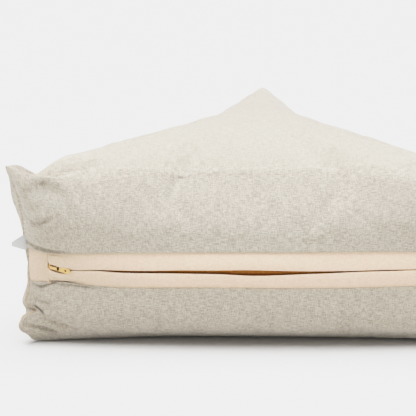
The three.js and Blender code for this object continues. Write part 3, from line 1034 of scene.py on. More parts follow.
@dataclass
class Zip:
    """The zip in its channel, and the line along which the flaps stand open over it.

    The heights of its middle and the half widths of the opening, in millimetres, are those at the
    places along the band. The place and height over the slider are in metres.
    """

    wall: FrontWall
    places: tuple[float, ...] = (
        -178, -174.5, -171, -167.4, -163.4, -161.3, -158.7, -156.1, -154, -150.9, -146, -139,
        -112, -85, -58, -31, -4, 22, 49, 76, 103, 130, 177,
    )
    heights: tuple[float, ...] = (
        75.6, 75.1, 73.4, 72.2, 70.9, 70.7, 70.55, 70.95, 71.3, 71.15, 71.1, 71.5,
        71.1, 71.4, 72.0, 72.1, 71.65, 71.6, 71.9, 72.6, 73.2, 73.5, 73.3,
    )
    halves: tuple[float, ...] = (
        2.4, 2.55, 2.8, 2.8, 2.75, 2.2, 1.65, 0.75, 0.15, 0.12, 0.12, 0.2,
        0.75, 1.2, 1.35, 1.6, 2.1, 1.9, 1.1, 0.8, 0.4, 0.15, 0.15,
    )
    closed_half: float = 0.12 * MM
    over_slider: Pair = (-166 * MM, 1.5 * MM)
    slider_reach: float = 9 * MM
    pull_reach: float = 7 * MM
    pull_turn: float = 7.0
    end: float = 175.6 * MM
    tape_half: float = 10.4 * MM
    tape_depth: float = -5.15 * MM
    tape_cloth: float = 0.7 * MM
    tape_stations: int = 181
    tape_rows: int = 9
    teeth_end: float = 173 * MM
    tooth: Triple = (0.95 * MM, 3.3 * MM, 2.2 * MM)
    tooth_bevel: float = 0.22 * MM
    tooth_pitch: float = 1.3 * MM
    tooth_depth: float = -3.3 * MM
    tooth_stagger: float = 0.5 * MM
    cast_weld: float = 0.01 * MM
    cast_bevel: float = 0.28 * MM
    cast_segments: int = 3
    flat_within: float = 2.0
    sharp_over: float = 25.0

    def middle(self, x: np.ndarray) -> np.ndarray:
        """Return the height of the zip's middle line, which the closed slider pulls askew."""
        return curve_at(x, self.places, self.heights)

    def open_half(self, x: np.ndarray) -> np.ndarray:
        """Return half the opening between the two flaps."""
        return np.maximum(curve_at(x, self.places, self.halves), self.closed_half)

    def lift(self, x: np.ndarray, side: FlapSide) -> np.ndarray:
        """Return how far the slider, or below it the pull, pushes a flap's free edge out."""
        place, height = self.over_slider
        shift = 0.0 if side is FlapSide.UPPER else self.pull_reach
        return height * hump(np.maximum(np.asarray(x) - place + shift, 0.0), self.slider_reach)

    def build(self, finishes: dict[str, bpy.types.Material]) -> None:
        """Make the slider, its pull, the tape and the teeth.

        Args:
            finishes: The finishes by name.
        """
        self.casting("zip_slider", Matrix.Identity(4), finishes["slider"])
        self.casting("zip_pull", self.pull_tilt(), finishes["brass"])
        self.tape(finishes["tape"])
        self.teeth(finishes["teeth"])

    def pull_tilt(self) -> Matrix:
        """Return the turn about the bridge that lays the pull's free end over the lower flap."""
        low, high = (Vector(corner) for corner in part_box("zip_pull"))
        pivot = Vector((low.x, (low.y + high.y) / 2, high.z))
        turn = Matrix.Rotation(math.radians(-self.pull_turn), 4, "Z")
        return Matrix.Translation(pivot) @ turn @ Matrix.Translation(-pivot)

    def tape(self, finish: bpy.types.Material) -> None:
        """Make the woven tape behind the flaps."""
        x = np.linspace(-self.end, self.end, self.tape_stations)
        across = np.linspace(-1, 1, self.tape_rows)
        share = self.wall.share_at(x)
        height = self.middle(x)[None, :] + self.tape_half * across[:, None]
        points = self.wall.place(share[None, :], height, self.tape_depth)
        tape = lay_out("zip_tape_cloth", cloth_grid("zip_tape_cloth", points, flat_cut(points)))
        finish_cloth(tape, self.tape_cloth, 0)
        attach(tape, ROOT)
        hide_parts("zip_tape")
        dress(tape, finish)

    def teeth(self, finish: bpy.types.Material) -> None:
        """Make the row of metal teeth, which mesh from both sides."""
        x = np.arange(-self.teeth_end, self.teeth_end, self.tooth_pitch)
        seat, out = self.wall.seats(x, self.middle(x), self.tooth_depth)
        along = unit(np.gradient(seat, axis=0))
        up = unit(np.cross(out, along))
        shape = Matrix.Diagonal((*self.tooth, 1.0))
        bm = bmesh.new()
        for index in range(len(x)):
            side = 1 if index % 2 else -1
            made = bmesh.ops.create_cube(bm, size=1.0)["verts"]
            turn = Matrix([*zip(along[index], up[index], out[index])]).to_4x4()
            move = Matrix.Translation(seat[index] + up[index] * side * self.tooth_stagger)
            bmesh.ops.transform(bm, matrix=move @ turn @ shape, verts=made)
        bevel(bm, bm.edges[:], self.tooth_bevel, 1)
        teeth = lay_out("zip_teeth_row", mesh_of("zip_teeth_row", bm, smooth=False))
        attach(teeth, ROOT)
        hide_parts("zip_teeth")
        dress(teeth, finish)
        log.info("zip teeth: %d", len(x))

    def casting(self, node: str, turn: Matrix, finish: bpy.types.Material) -> None:
        """Make a cast metal piece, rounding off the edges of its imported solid.

        Args:
            node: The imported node's name.
            turn: How the piece is turned out of its packed place.
            finish: Its metal.
        """
        bm = bmesh.new()
        bm.from_mesh(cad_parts[node].data)
        bmesh.ops.transform(bm, matrix=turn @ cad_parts[node].matrix_world, verts=bm.verts[:])
        bmesh.ops.remove_doubles(bm, verts=bm.verts[:], dist=self.cast_weld)
        flat = math.radians(self.flat_within)
        bmesh.ops.dissolve_limit(bm, angle_limit=flat, verts=bm.verts[:], edges=bm.edges[:])
        bmesh.ops.recalc_face_normals(bm, faces=bm.faces[:])
        turned = math.radians(self.sharp_over)
        sharp = [edge for edge in bm.edges if edge.is_manifold and edge.calc_face_angle() > turned]
        bevel(bm, sharp, self.cast_bevel, self.cast_segments)
        name = f"{node}_cast"
        piece = lay_out(name, mesh_of(name, bm))
        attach(piece, ROOT)
        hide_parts(node)
        dress(piece, finish)


@dataclass
class Placket:
    """The ecru band: two folded flaps that meet over the zip, and a plain piece at each end.

    Depths are out of the wall, so those below zero lie in the channel. A pair of places is where
    an effect comes in or fades, going right along the wall. The parts are shares of the way from a
    sewn edge to the free or the other one. The dip at a seam has its depth and its width. Waves
    have a height, a length for each unit of angle and a phase.
    """

    zip: Zip
    wall: FrontWall
    flap_end: float = 175.4 * MM
    end_inner: float = 174.6 * MM
    end_turn: float = 3.0 * MM
    end_depth: float = -0.8 * MM
    fold_depth: float = -1.9 * MM
    flap_stations: int = 150
    flap_crowding: float = 0.45
    cloth: float = 0.7 * MM
    tuck: float = 2.0 * MM
    tuck_depth: float = -1.9 * MM
    corner_tuck: float = 1.6 * MM
    corner_tuck_at: Pair = (-150 * MM, -110 * MM)
    half_tuck: float = 0.9 * MM
    half_tuck_rise: float = 0.5 * MM
    edge_depth: float = -0.9 * MM
    under_depth: float = -1.7 * MM
    corner_sag: float = 1.5 * MM
    corner_sag_at: Pair = (-165 * MM, -125 * MM)
    waver: float = 0.16 * MM
    waver_waves: tuple[Triple, ...] = ((1.0, 23 * MM, 1.0), (0.7, 9.1 * MM, 2.1))
    waver_from: Pair = (-140 * MM, -110 * MM)
    waver_to: Pair = (150 * MM, 172 * MM)
    bulge: float = 0.35 * MM
    bulge_waves: tuple[Triple, ...] = ((0.25 * MM, 31 * MM, 1.7), (0.12 * MM, 12.3 * MM, -1.0))
    risen_at: float = 0.9
    flap_parts: tuple[float, ...] = (0.0, 0.05, 0.14, 0.3, 0.48, 0.66, 0.82, 0.94, 1.0)
    nose_angles: tuple[int, ...] = (30, 60, 90, 120, 150)
    nose_depth: float = 0.95 * MM
    nose_radius: float = 0.85 * MM
    turned_runs: Triple = (0.0, 2.5 * MM, 5.5 * MM)
    turned_under: float = 9.0 * MM
    turned_clear: float = 1.5 * MM
    turned_drop: float = 0.35 * MM
    seam_share: float = 0.0022
    end_stations: int = 22
    end_parts: tuple[float, ...] = (
        -0.06, -0.02, 0.02, 0.08, 0.2, 0.35, 0.5, 0.65, 0.8, 0.92, 0.98, 1.02, 1.06,
    )
    end_bulge: float = 0.9 * MM
    end_tuck: float = 1.2 * MM
    seam_dip: Pair = (0.9 * MM, 2.2 * MM)

    def build(self, finish: bpy.types.Material) -> None:
        """Make both flaps and both end pieces.

        Args:
            finish: Their cloth.
        """
        for side in FlapSide:
            self.flap(side, finish)
        self.end_piece("left", finish)
        self.end_piece("right", finish)

    def flap_rows(self, side: FlapSide, x: np.ndarray) -> list[tuple[np.ndarray, np.ndarray]]:
        """Lay out a flap row by row, from its sewn edge over its free one and back underneath.

        Args:
            side: Which side of the zip it is sewn to.
            x: Its stations along the wall.

        Returns:
            The heights and the depths of each row.
        """
        sign, above = side.value, side is FlapSide.UPPER
        sewn = self.wall.band.edge(x, side)
        free = self.zip.middle(x) + sign * (self.zip.open_half(x) + self.cloth / 2)
        uneven = self.uneven(x, side, self.waver_waves)
        nose = free + sign * self.nose_radius + self.waver * uneven * self.settled(x)
        nose_depth = self.nose_depth + self.zip.lift(x, side)
        swell = self.uneven(x, side, self.bulge_waves)
        sag = self.corner_sag * (1 - smoothstep(x, *self.corner_sag_at))
        edge_depth = self.edge_depth if above else self.under_depth - sag
        sunk = self.corner_tuck * (1 - smoothstep(x, *self.corner_tuck_at))

        rows = [
            (sewn + sign * self.tuck, self.tuck_depth - sunk),
            (sewn + sign * self.half_tuck, self.tuck_depth + self.half_tuck_rise - sunk),
        ]
        for part in self.flap_parts:
            depth = edge_depth + (nose_depth - edge_depth) * smoothstep(part, 0.0, self.risen_at)
            bulge = math.sin(math.pi * part) * (self.bulge + swell)
            rows.append((sewn + (nose - sewn) * part, depth + bulge))
        for turn in np.radians(self.nose_angles):
            height = nose - sign * self.nose_radius * math.sin(turn)
            rows.append((height, nose_depth - self.nose_radius * (1 - math.cos(turn))))
        limit = sewn - sign * self.turned_clear
        for run in (*self.turned_runs, self.turned_under):
            height = nose + sign * run
            height = np.minimum(height, limit) if above else np.maximum(height, limit)
            drop = self.turned_drop * run / self.turned_under
            rows.append((height, nose_depth - 2 * self.nose_radius - drop))
        return rows

    def flap(self, side: FlapSide, finish: bpy.types.Material) -> None:
        """Make one flap of cloth, folded at its free edge and turned under it.

        Args:
            side: Which side of the zip it is sewn to.
            finish: Its cloth.
        """
        crowded = self.flap_end * np.sin(np.linspace(-0.5, 0.5, self.flap_stations + 1) * np.pi)
        even = np.linspace(-self.flap_end, self.flap_end, self.flap_stations + 1)
        x = self.flap_crowding * crowded + (1 - self.flap_crowding) * even
        rows = self.flap_rows(side, x)
        heights, depths = (np.array(part) for part in zip(*rows))
        above = side is FlapSide.UPPER
        whole = smoothstep(self.flap_end - np.abs(x), 0.0, self.end_turn)
        end_depth = np.where(above & (x < 0), self.fold_depth, self.end_depth)
        depths = end_depth + (depths - end_depth) * whole
        points = self.wall.place(self.wall.share_at(x)[None, :], heights, depths)
        if above:
            points = points[::-1]
        cut = flat_cut(points)
        cut[..., 0] = running_length(points[:1], 1)
        name = f"placket_{side.name.lower()}_cloth"
        flap = lay_out(name, cloth_grid(name, points, cut))
        finish_cloth(flap, self.cloth)
        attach(flap, ROOT)
        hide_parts(f"placket_{side.name.lower()}")
        dress(flap, finish)

    @staticmethod
    def uneven(x: np.ndarray, side: FlapSide, waves: tuple[Triple, ...]) -> np.ndarray:
        """Return the sum of some waves along the wall, which differ from flap to flap."""
        return sum(size * np.sin(x / span + phase * side.value) for size, span, phase in waves)

    def settled(self, x: np.ndarray) -> np.ndarray:
        """Return where the free edge may waver: nowhere near the slider and the ends."""
        return smoothstep(x, *self.waver_from) * (1 - smoothstep(x, *self.waver_to))

    def end_piece(self, name: str, finish: bpy.types.Material) -> None:
        """Make the plain piece between a corner seam and the end of the zip.

        Args:
            name: Which end it is, left or right.
            finish: Its cloth.
        """
        band = self.wall.band
        inner = self.wall.share_at(np.array([-self.end_inner]))[0]
        share = np.linspace(self.seam_share, inner, self.end_stations)
        if name == "right":
            share = 1 - share[::-1]
        x = self.wall.place(share, band.centre, 0.0)[:, 0]
        top, bottom = band.edge(x, FlapSide.UPPER), band.edge(x, FlapSide.LOWER)
        from_seam = self.wall.form.side * np.minimum(share, 1 - share)
        at_seam = self.seam_dip[0] * hump(from_seam, self.seam_dip[1])
        heights, depths = [], []
        for part in self.end_parts:
            tucked = -self.end_tuck if part < 0 or part > 1 else 0.0
            heights.append(bottom + (top - bottom) * part)
            bulge = self.end_bulge * math.sin(math.pi * min(max(part, 0.0), 1.0))
            depths.append(self.edge_depth + tucked + bulge - at_seam)
        points = self.wall.place(share[None, :], np.array(heights), np.array(depths))
        cut = flat_cut(points)
        title = f"placket_end_{name}_cloth"
        piece = lay_out(title, cloth_grid(title, points, cut))
        finish_cloth(piece, self.cloth)
        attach(piece, ROOT)
        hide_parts(f"placket_end_{name}")
        dress(piece, finish)


@dataclass
class Label:
    """The small bare label, one loop of ribbon with its two ends sewn into the left corner seam.

    It narrows and droops along its length, and curls aside, by powers and angles of its run.
    """

    low: float = 85 * MM
    high: float = 99.5 * MM
    across: int = 9
    along: int = 10
    length: float = 12.3 * MM
    droop: float = 0.5 * MM
    taper: float = 0.72
    loop: float = 0.55 * MM
    loop_run: float = 1.04
    loop_cloth: float = 1.2 * MM
    ribbon: float = 0.3 * MM
    taper_power: float = 1.2
    droop_power: float = 1.3
    curl: float = 0.8 * MM
    curl_angle: float = 2.4

    def build(self, finish: bpy.types.Material) -> None:
        """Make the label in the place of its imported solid.

        Args:
            finish: Its ribbon.
        """
        low, high = (np.array(corner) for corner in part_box("label"))
        root = np.array([high[0], high[1], (self.low + self.high) / 2])
        out = np.array([low[0] - root[0], low[1] - root[1], 0.0])
        out /= np.linalg.norm(out)
        aside = np.array([-out[1], out[0], 0.0])
        half = (self.high - self.low) / 2
        out_runs = np.linspace(0, 1, self.along)[:-1]
        back_runs = np.linspace(1, 0, self.along)[1:]
        runs = np.concatenate([out_runs, [1.0, self.loop_run, self.loop_run, 1.0], back_runs])
        sides = np.concatenate([np.ones(self.along), [0.5, -0.5], -np.ones(self.along)])
        across = np.linspace(-1, 1, self.across)
        points = np.zeros((len(across), len(runs), 3))
        for j, (run, side) in enumerate(zip(runs, sides)):
            curl = self.curl * math.sin(self.curl_angle * run)
            width = half * (1 - self.taper * min(run, 1.0) ** self.taper_power)
            droop = self.droop * run**self.droop_power
            for i, v in enumerate(across):
                shift = aside * (side * self.loop + curl * v * run)
                centre = root + out * self.length * run + shift
                points[i, j] = centre + np.array([0, 0, v * width - droop])
        label = lay_out("label_ribbon", cloth_grid("label_ribbon", points, flat_cut(points)))
        finish_cloth(label, self.ribbon)
        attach(label, ROOT)
        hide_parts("label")
        dress(label, finish)


@dataclass(frozen=True)
class Stitching:
    """Runs of sewing thread: small stitches along a line."""

    thread: float = 0.6 * MM
    stitch: float = 2.6 * MM
    gap: float = 0.25 * MM
    lift: float = 0.3 * MM
    overlap: float = 1.08
    ahead: float = 0.3 * MM

    def run(
        self, name: str, line: np.ndarray, out: np.ndarray, finish: bpy.types.Material
    ) -> None:
        """Lay stitches along a line, all in one piece.

        Args:
            name: The piece's name.
            line: The points that the thread follows.
            out: The direction out of the cloth at each of them.
            finish: The thread.
        """
        lengths = running_length(line[:, None, :], 0)[:, 0]
        bm = bmesh.new()
        places = np.arange(self.stitch, lengths[-1] - self.stitch, self.stitch + self.gap)
        shape = Matrix.Diagonal((self.stitch * self.overlap, self.thread, self.thread, 1.0))
        for place in places:
            at = np.array([np.interp(place, lengths, line[:, k]) for k in range(3)])
            next_place = place + self.ahead
            ahead = np.array([np.interp(next_place, lengths, line[:, k]) for k in range(3)])
            lift = np.array([np.interp(place, lengths, out[:, k]) for k in range(3)])
            along = Vector(ahead - at).normalized()
            side = Vector(lift).cross(along).normalized()
            up = along.cross(side)
            made = bmesh.ops.create_icosphere(bm, subdivisions=1, radius=0.5)["verts"]
            turn = Matrix([*zip(along, side, up)]).to_4x4()
            place_at = Matrix.Translation(Vector(at) + up * self.lift)
            bmesh.ops.transform(bm, matrix=place_at @ turn @ shape, verts=made)
        piece = lay_out(name, mesh_of(name, bm))
        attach(piece, ROOT)
        dress(piece, finish)
        log.info("%s: %d stitches", name, len(places))


@dataclass
class Trim:
    """The thread that shows: on the corner seams, on the hook of the left one and by the band."""

    wall: FrontWall
    seam: Stitching = Stitching()
    cord: Stitching = Stitching(
        thread=1.1 * MM, stitch=2.0 * MM, gap=0.05 * MM, lift=0.5 * MM
    )
    topstitch: Stitching = Stitching(
        thread=0.42 * MM, stitch=1.3 * MM, gap=0.9 * MM, lift=0.1 * MM
    )
    hook: Pair = (9 * MM, 38 * MM)
    topstitch_end: float = 172 * MM
    topstitch_from: Pair = (-140 * MM, -120 * MM)
    beyond: float = 0.9 * MM
    stations: int = 240

    def build(self, seams: list[np.ndarray], finish: bpy.types.Material) -> None:
        """Lay all the thread.

        Args:
            seams: The lines of the corner seams: left, right and back.
            finish: The thread.
        """
        for name, line in zip(("left", "right", "back"), seams):
            self.seam.run(f"seam_thread_{name}", line, self.away(line), finish)
        height = seams[0][:, 2]
        hook = seams[0][(height > self.hook[0]) & (height < self.hook[1])]
        self.cord.run("seam_cord_hook", hook, self.away(hook), finish)
        for side, start in zip(FlapSide, self.topstitch_from):
            self.by_the_band(side, start, finish)

    def away(self, line: np.ndarray) -> np.ndarray:
        """Return level directions away from the cushion's middle at points of a line."""
        away = line - np.array([0.0, self.wall.form.plan_shift, 0.0])
        away[:, 2] = 0.0
        return unit(away)

    def by_the_band(self, side: FlapSide, start: float, finish: bpy.types.Material) -> None:
        """Lay the topstitching just beyond one edge of the band.

        Args:
            side: The edge.
            start: Where it starts to show, along the wall.
            finish: The thread.
        """
        x = np.linspace(start, self.topstitch_end, self.stations)
        height = self.wall.band.edge(x, side) + side.value * self.beyond
        line, out = self.wall.seats(x, height, self.topstitch.lift)
        self.topstitch.run(f"topstitch_{side.name.lower()}", line, out, finish)


class Nodes:
    """A short way to write a node tree."""

    def __init__(self, tree: bpy.types.NodeTree) -> None:
        """Start from a tree."""
        self.tree = tree

    def add(self, kind: str, **values: object) -> bpy.types.Node:
        """Add a node.

        Args:
            kind: The node's type.
            **values: Attributes of the node, or values of its inputs where it has none of a name.

        Returns:
            The node.
        """
        node = self.tree.nodes.new(kind)
        for name, value in values.items():
            if hasattr(node, name):
                setattr(node, name, value)
            else:
                node.inputs[name.replace("_", " ")].default_value = value
        return node

    def join(self, source: bpy.types.NodeSocket, target: bpy.types.NodeSocket) -> None:
        """Link an output to an input."""
        self.tree.links.new(source, target)

    def noise(
        self, place: bpy.types.NodeSocket, scale: object, detail: float = 2.0
    ) -> bpy.types.NodeSocket:
        """Add a noise texture and return its value.

        Args:
            place: The output that it reads its places from.
            scale: How fine it is, as a value or a socket.
            detail: How many finer layers it has.

        Returns:
            The output of its value.
        """
        noise = self.add("ShaderNodeTexNoise", Detail=detail)
        self.join(place, noise.inputs["Vector"])
        self.give(noise.inputs["Scale"], scale)
        return noise.outputs[0]

    def bump(
        self, height: bpy.types.NodeSocket, strength: float, distance: float
    ) -> bpy.types.NodeSocket:
        """Add a bump of a height and return its normal."""
        bump = self.add("ShaderNodeBump", Strength=strength, Distance=distance)
        self.join(height, bump.inputs["Height"])
        return bump.outputs[0]

    def give(self, socket: bpy.types.NodeSocket, value: object) -> None:
        """Link an input to an output, or set it to a value or a colour."""
        if isinstance(value, bpy.types.NodeSocket):
            self.join(value, socket)
        elif isinstance(value, tuple):
            socket.default_value = (*value, 1.0)
        else:
            socket.default_value = value

    def math(
        self, operation: str, first: object, second: object = 0.0, clamp: bool = False
    ) -> bpy.types.NodeSocket:
        """Add a sum of two values or sockets and return its output."""
        node = self.tree.nodes.new("ShaderNodeMath")
        node.operation = operation
        node.use_clamp = clamp
        for socket, value in zip(node.inputs, (first, second)):
            self.give(socket, value)
        return node.outputs[0]

    def mix(
        self, share: object, first: object, second: object, blend: str = "MIX"
    ) -> bpy.types.NodeSocket:
        """Add a mix of two colours and return its output."""
        node = self.tree.nodes.new("ShaderNodeMix")
        node.data_type = "RGBA"
        node.blend_type = blend
        for index, value in ((0, share), (6, first), (7, second)):
            self.give(node.inputs[index], value)
        return node.outputs[2]


def new_group(
    name: str, inputs: dict[str, tuple[str, object]], outputs: dict[str, str]
) -> bpy.types.NodeTree:
    """Make an empty shader node group with named sockets.

    Args:
        name: The group's name.
        inputs: For each input its socket type and its value.
        outputs: For each output its socket type.

    Returns:
        The group, with an input node called in and an output node called out.
    """
    group = bpy.data.node_groups.new(name, "ShaderNodeTree")
    for label, (kind, value) in inputs.items():
        socket = group.interface.new_socket(label, in_out="INPUT", socket_type=kind)
        if value is not None:
            socket.default_value = value
    for label, kind in outputs.items():
        group.interface.new_socket(label, in_out="OUTPUT", socket_type=kind)
    group.nodes.new("NodeGroupInput").name = "in"
    group.nodes.new("NodeGroupOutput").name = "out"
    return group


def weave_group() -> bpy.types.NodeTree:
    """Make the plain weave: yarns that pass over and under each other, with slubs."""
    inputs = {
        "Vector": ("NodeSocketVector", None),
        "Yarns": ("NodeSocketFloat", 1800.0),
        "Slub length": ("NodeSocketFloat", 6.0),
        "Slub width": ("NodeSocketFloat", 0.5),
        "Unevenness": ("NodeSocketFloat", 2.5),
    }
    outputs = {"Height": "NodeSocketFloat", "Warp": "NodeSocketFloat", "Slub": "NodeSocketFloat"}
    group = new_group("plain_weave", inputs, outputs)
    n = Nodes(group)
    start, end = group.nodes["in"], group.nodes["out"]
    split = n.add("ShaderNodeSeparateXYZ")
    n.join(start.outputs["Vector"], split.inputs[0])
    turn = n.math("MULTIPLY", start.outputs["Yarns"], math.pi)
    warp_wave = n.math("SINE", n.math("MULTIPLY", split.outputs[0], turn))
    weft_wave = n.math("SINE", n.math("MULTIPLY", split.outputs[1], turn))
    over = n.math("MULTIPLY", warp_wave, weft_wave)
    warp_top = n.math("ADD", n.math("MULTIPLY", over, 0.5), 0.5)
    weft_top = n.math("SUBTRACT", 1.0, warp_top)
    warp_height = n.math("MULTIPLY", n.math("ABSOLUTE", warp_wave), warp_top)
    weft_height = n.math("MULTIPLY", n.math("ABSOLUTE", weft_wave), weft_top)
    n.join(n.math("MAXIMUM", warp_height, weft_height), end.inputs["Height"])
    n.join(warp_top, end.inputs["Warp"])

    slubs = []
    for along, across, strength, shortness in ((0, 1, 1.0, 1.0), (1, 0, 0.7, 1.6)):
        stretched = n.add("ShaderNodeCombineXYZ")
        thick = n.math("MULTIPLY", start.outputs["Yarns"], start.outputs["Slub width"])
        n.join(n.math("MULTIPLY", split.outputs[across], thick), stretched.inputs[0])
        short = n.math("MULTIPLY", start.outputs["Yarns"], shortness)
        short = n.math("DIVIDE", short, start.outputs["Slub length"])
        n.join(n.math("MULTIPLY", split.outputs[along], short), stretched.inputs[1])
        stretched.inputs[2].default_value = 3.7 * across + 1.3
        noise = n.add("ShaderNodeTexNoise", Scale=1.0, Detail=2.0, Roughness=0.65)
        n.join(stretched.outputs[0], noise.inputs["Vector"])
        slubs.append(n.math("MULTIPLY", n.math("SUBTRACT", noise.outputs[0], 0.5), strength))
    slub = n.math("ADD", slubs[0], slubs[1])
    n.join(n.math("MULTIPLY", slub, start.outputs["Unevenness"]), end.inputs["Slub"])
    return group


def speck_group() -> bpy.types.NodeTree:
    """Make the neps: small specks of seed and fluff, sparse and of uneven size."""
    inputs = {
        "Vector": ("NodeSocketVector", None),
        "Spacing": ("NodeSocketFloat", 260.0),
        "Size": ("NodeSocketFloat", 0.06),
    }
    group = new_group("neps", inputs, {"Mask": "NodeSocketFloat"})
    n = Nodes(group)
    start, end = group.nodes["in"], group.nodes["out"]
    cells = n.add("ShaderNodeTexVoronoi", feature="F1", distance="EUCLIDEAN")
    n.join(start.outputs["Vector"], cells.inputs["Vector"])
    n.join(start.outputs["Spacing"], cells.inputs["Scale"])
    pick = n.add("ShaderNodeSeparateColor")
    n.join(cells.outputs["Color"], pick.inputs[0])
    bare_share = 0.82
    chosen = n.math("GREATER_THAN", pick.outputs[0], bare_share)
    size = n.math("MULTIPLY", start.outputs["Size"], n.math("ADD", pick.outputs[1], 0.4))
    inside = n.math("LESS_THAN", cells.outputs["Distance"], size)
    n.join(n.math("MULTIPLY", chosen, inside), end.inputs["Mask"])
    return group


def tone_and_fold_shade_group() -> bpy.types.NodeTree:
    """Make broad random unevenness of tone, darker at seams and with painted shade in the folds,
    and the fuzz of the cloth.
    """
    inputs = {
        "Vector": ("NodeSocketVector", None),
        "Fold": ("NodeSocketFloat", 0.0),
        "Seam": ("NodeSocketFloat", 0.0),
        "Patches": ("NodeSocketFloat", 18.0),
    }
    group = new_group("tone_and_fold_shade", inputs, {"Shade": "NodeSocketFloat", "Fuzz": "NodeSocketFloat"})
    n = Nodes(group)
    start, end = group.nodes["in"], group.nodes["out"]
    patchy, painted_fold_shade, by_seams = 0.09, 0.06, 0.10
    broad = n.noise(start.outputs["Vector"], start.outputs["Patches"], 4.0)
    fuzz = n.noise(start.outputs["Vector"], 900.0, 6.0)
    shade = n.math("ADD", 1.0, n.math("MULTIPLY", n.math("SUBTRACT", broad, 0.5), patchy))
    # Painted shade: the cloth is darkened in the folds, by the depth of each crease.
    shade = n.math("SUBTRACT", shade, n.math("MULTIPLY", start.outputs["Fold"], painted_fold_shade))
    shade = n.math("SUBTRACT", shade, n.math("MULTIPLY", start.outputs["Seam"], by_seams))
    n.join(shade, end.inputs["Shade"])
    n.join(fuzz, end.inputs["Fuzz"])
    return group


@dataclass(frozen=True)
class ClothFinish:
    """A woven cloth: its two yarn colours, how fine and uneven its weave is, and its neps.

    It is rubbed smooth from one height to another above it, and darkened with painted shade to the
    left of a place, from which it grows lighter to a second place. Both are off the piece unless
    given.
    """

    name: str
    warp: Triple
    weft: Triple
    nep: Triple
    seam: Triple
    yarns: float = 1800.0
    slub_length: float = 9.0
    slub_width: float = 0.8
    unevenness: float = 3.0
    nep_spacing: float = 240.0
    nep_size: float = 0.07
    relief: float = 0.25 * MM
    relief_strength: float = 0.8
    slub_relief: float = 0.4
    fuzz_relief: float = 0.4
    sheen: float = 0.35
    sheen_roughness: float = 0.5
    specular: float = 0.2
    roughness: float = 0.92
    rough_spread: float = 0.12
    rubbed: Pair = (8.0, 9.0)
    rubbed_off: float = 0.62
    # Painted shade: where the cloth grows darker towards the left, and the colour it is multiplied
    # by there.
    painted_shade_span: Pair = (-9.0, -8.0)
    painted_shade_tint: Triple = (0.80, 0.83, 0.83)
    seam_tint: float = 0.55
    slub_shade: float = 0.05

    @staticmethod
    def ramp(
        n: Nodes, value: bpy.types.NodeSocket, low: float, high: float
    ) -> bpy.types.NodeSocket:
        """Add a share that rises from 0 at low to 1 at high."""
        return n.math("DIVIDE", n.math("SUBTRACT", value, low), high - low, clamp=True)

    def make(self, groups: dict[str, bpy.types.NodeTree]) -> bpy.types.Material:
        """Make the material.

        Args:
            groups: The shared node groups by name.

        Returns:
            The material.
        """
        material = bpy.data.materials.new(self.name)
        material.use_nodes = True
        n = Nodes(material.node_tree)
        shader = material.node_tree.nodes["Principled BSDF"]
        uv = n.add("ShaderNodeUVMap", uv_map=CLOTH_UV)
        weave = n.add(
            "ShaderNodeGroup",
            node_tree=groups["weave"],
            Yarns=self.yarns,
            Slub_length=self.slub_length,
            Slub_width=self.slub_width,
            Unevenness=self.unevenness,
        )
        neps = n.add(
            "ShaderNodeGroup",
            node_tree=groups["neps"],
            Spacing=self.nep_spacing,
            Size=self.nep_size,
        )
        tone_and_fold_shade = n.add("ShaderNodeGroup", node_tree=groups["tone_and_fold_shade"])
        for target in (weave, neps, tone_and_fold_shade):
            n.join(uv.outputs[0], target.inputs["Vector"])
        for label, name in (("Fold", FOLD), ("Seam", SEAM)):
            mask = n.add("ShaderNodeAttribute", attribute_name=name)
            n.join(mask.outputs["Fac"], tone_and_fold_shade.inputs[label])

        place = n.add("ShaderNodeTexCoord")
        split = n.add("ShaderNodeSeparateXYZ")
        n.join(place.outputs["Object"], split.inputs[0])
        rubbed = self.ramp(n, split.outputs[2], *self.rubbed)
        kept = n.math("SUBTRACT", 1.0, n.math("MULTIPLY", rubbed, self.rubbed_off))
        slub = n.math("MULTIPLY", weave.outputs["Slub"], kept)
        crossed = n.math("SUBTRACT", weave.outputs["Warp"], 0.5)
        crossed = n.math("MULTIPLY", crossed, n.math("MULTIPLY", kept, 0.5))
        share = n.math("ADD", n.math("ADD", crossed, 0.5), slub, clamp=True)
        colour = n.mix(share, self.weft, self.warp)
        lighter = n.math("ADD", 1.0, n.math("MULTIPLY", slub, self.slub_shade))
        # The shade holds random tone, darker seams and painted shade in the folds.
        shade = n.math("MULTIPLY", tone_and_fold_shade.outputs["Shade"], lighter)
        grey = n.add("ShaderNodeCombineColor")
        for socket in grey.inputs[:3]:
            n.join(shade, socket)
        colour = n.mix(1.0, colour, grey.outputs[0], "MULTIPLY")
        colour = n.mix(neps.outputs["Mask"], colour, self.nep)
        seam = n.add("ShaderNodeAttribute", attribute_name=SEAM)
        tint = n.math("MULTIPLY", seam.outputs["Fac"], self.seam_tint)
        colour = n.mix(tint, colour, self.seam)
        # Painted shade: the cloth is darkened towards the left of the span, where less light
        # reaches it.
        clean = self.ramp(n, split.outputs[0], *self.painted_shade_span)
        colour = n.mix(n.math("SUBTRACT", 1.0, clean), colour, self.painted_shade_tint, "MULTIPLY")
        n.join(colour, shader.inputs["Base Color"])

        fuzz = tone_and_fold_shade.outputs["Fuzz"]
        rough = n.math("MULTIPLY", fuzz, self.rough_spread)
        rough = n.math("ADD", self.roughness - self.rough_spread / 2, rough, clamp=True)
        n.join(rough, shader.inputs["Roughness"])
        thicker = n.math("MULTIPLY", slub, self.slub_relief)
        height = n.math("ADD", weave.outputs["Height"], thicker)
        height = n.math("ADD", height, n.math("MULTIPLY", fuzz, self.fuzz_relief))
        height = n.math("MULTIPLY", height, kept)
        normal = n.bump(height, self.relief_strength, self.relief)
        n.join(normal, shader.inputs["Normal"])
        shader.inputs["Sheen Weight"].default_value = self.sheen
        shader.inputs["Sheen Roughness"].default_value = self.sheen_roughness
        shader.inputs["Specular IOR Level"].default_value = self.specular
        return material


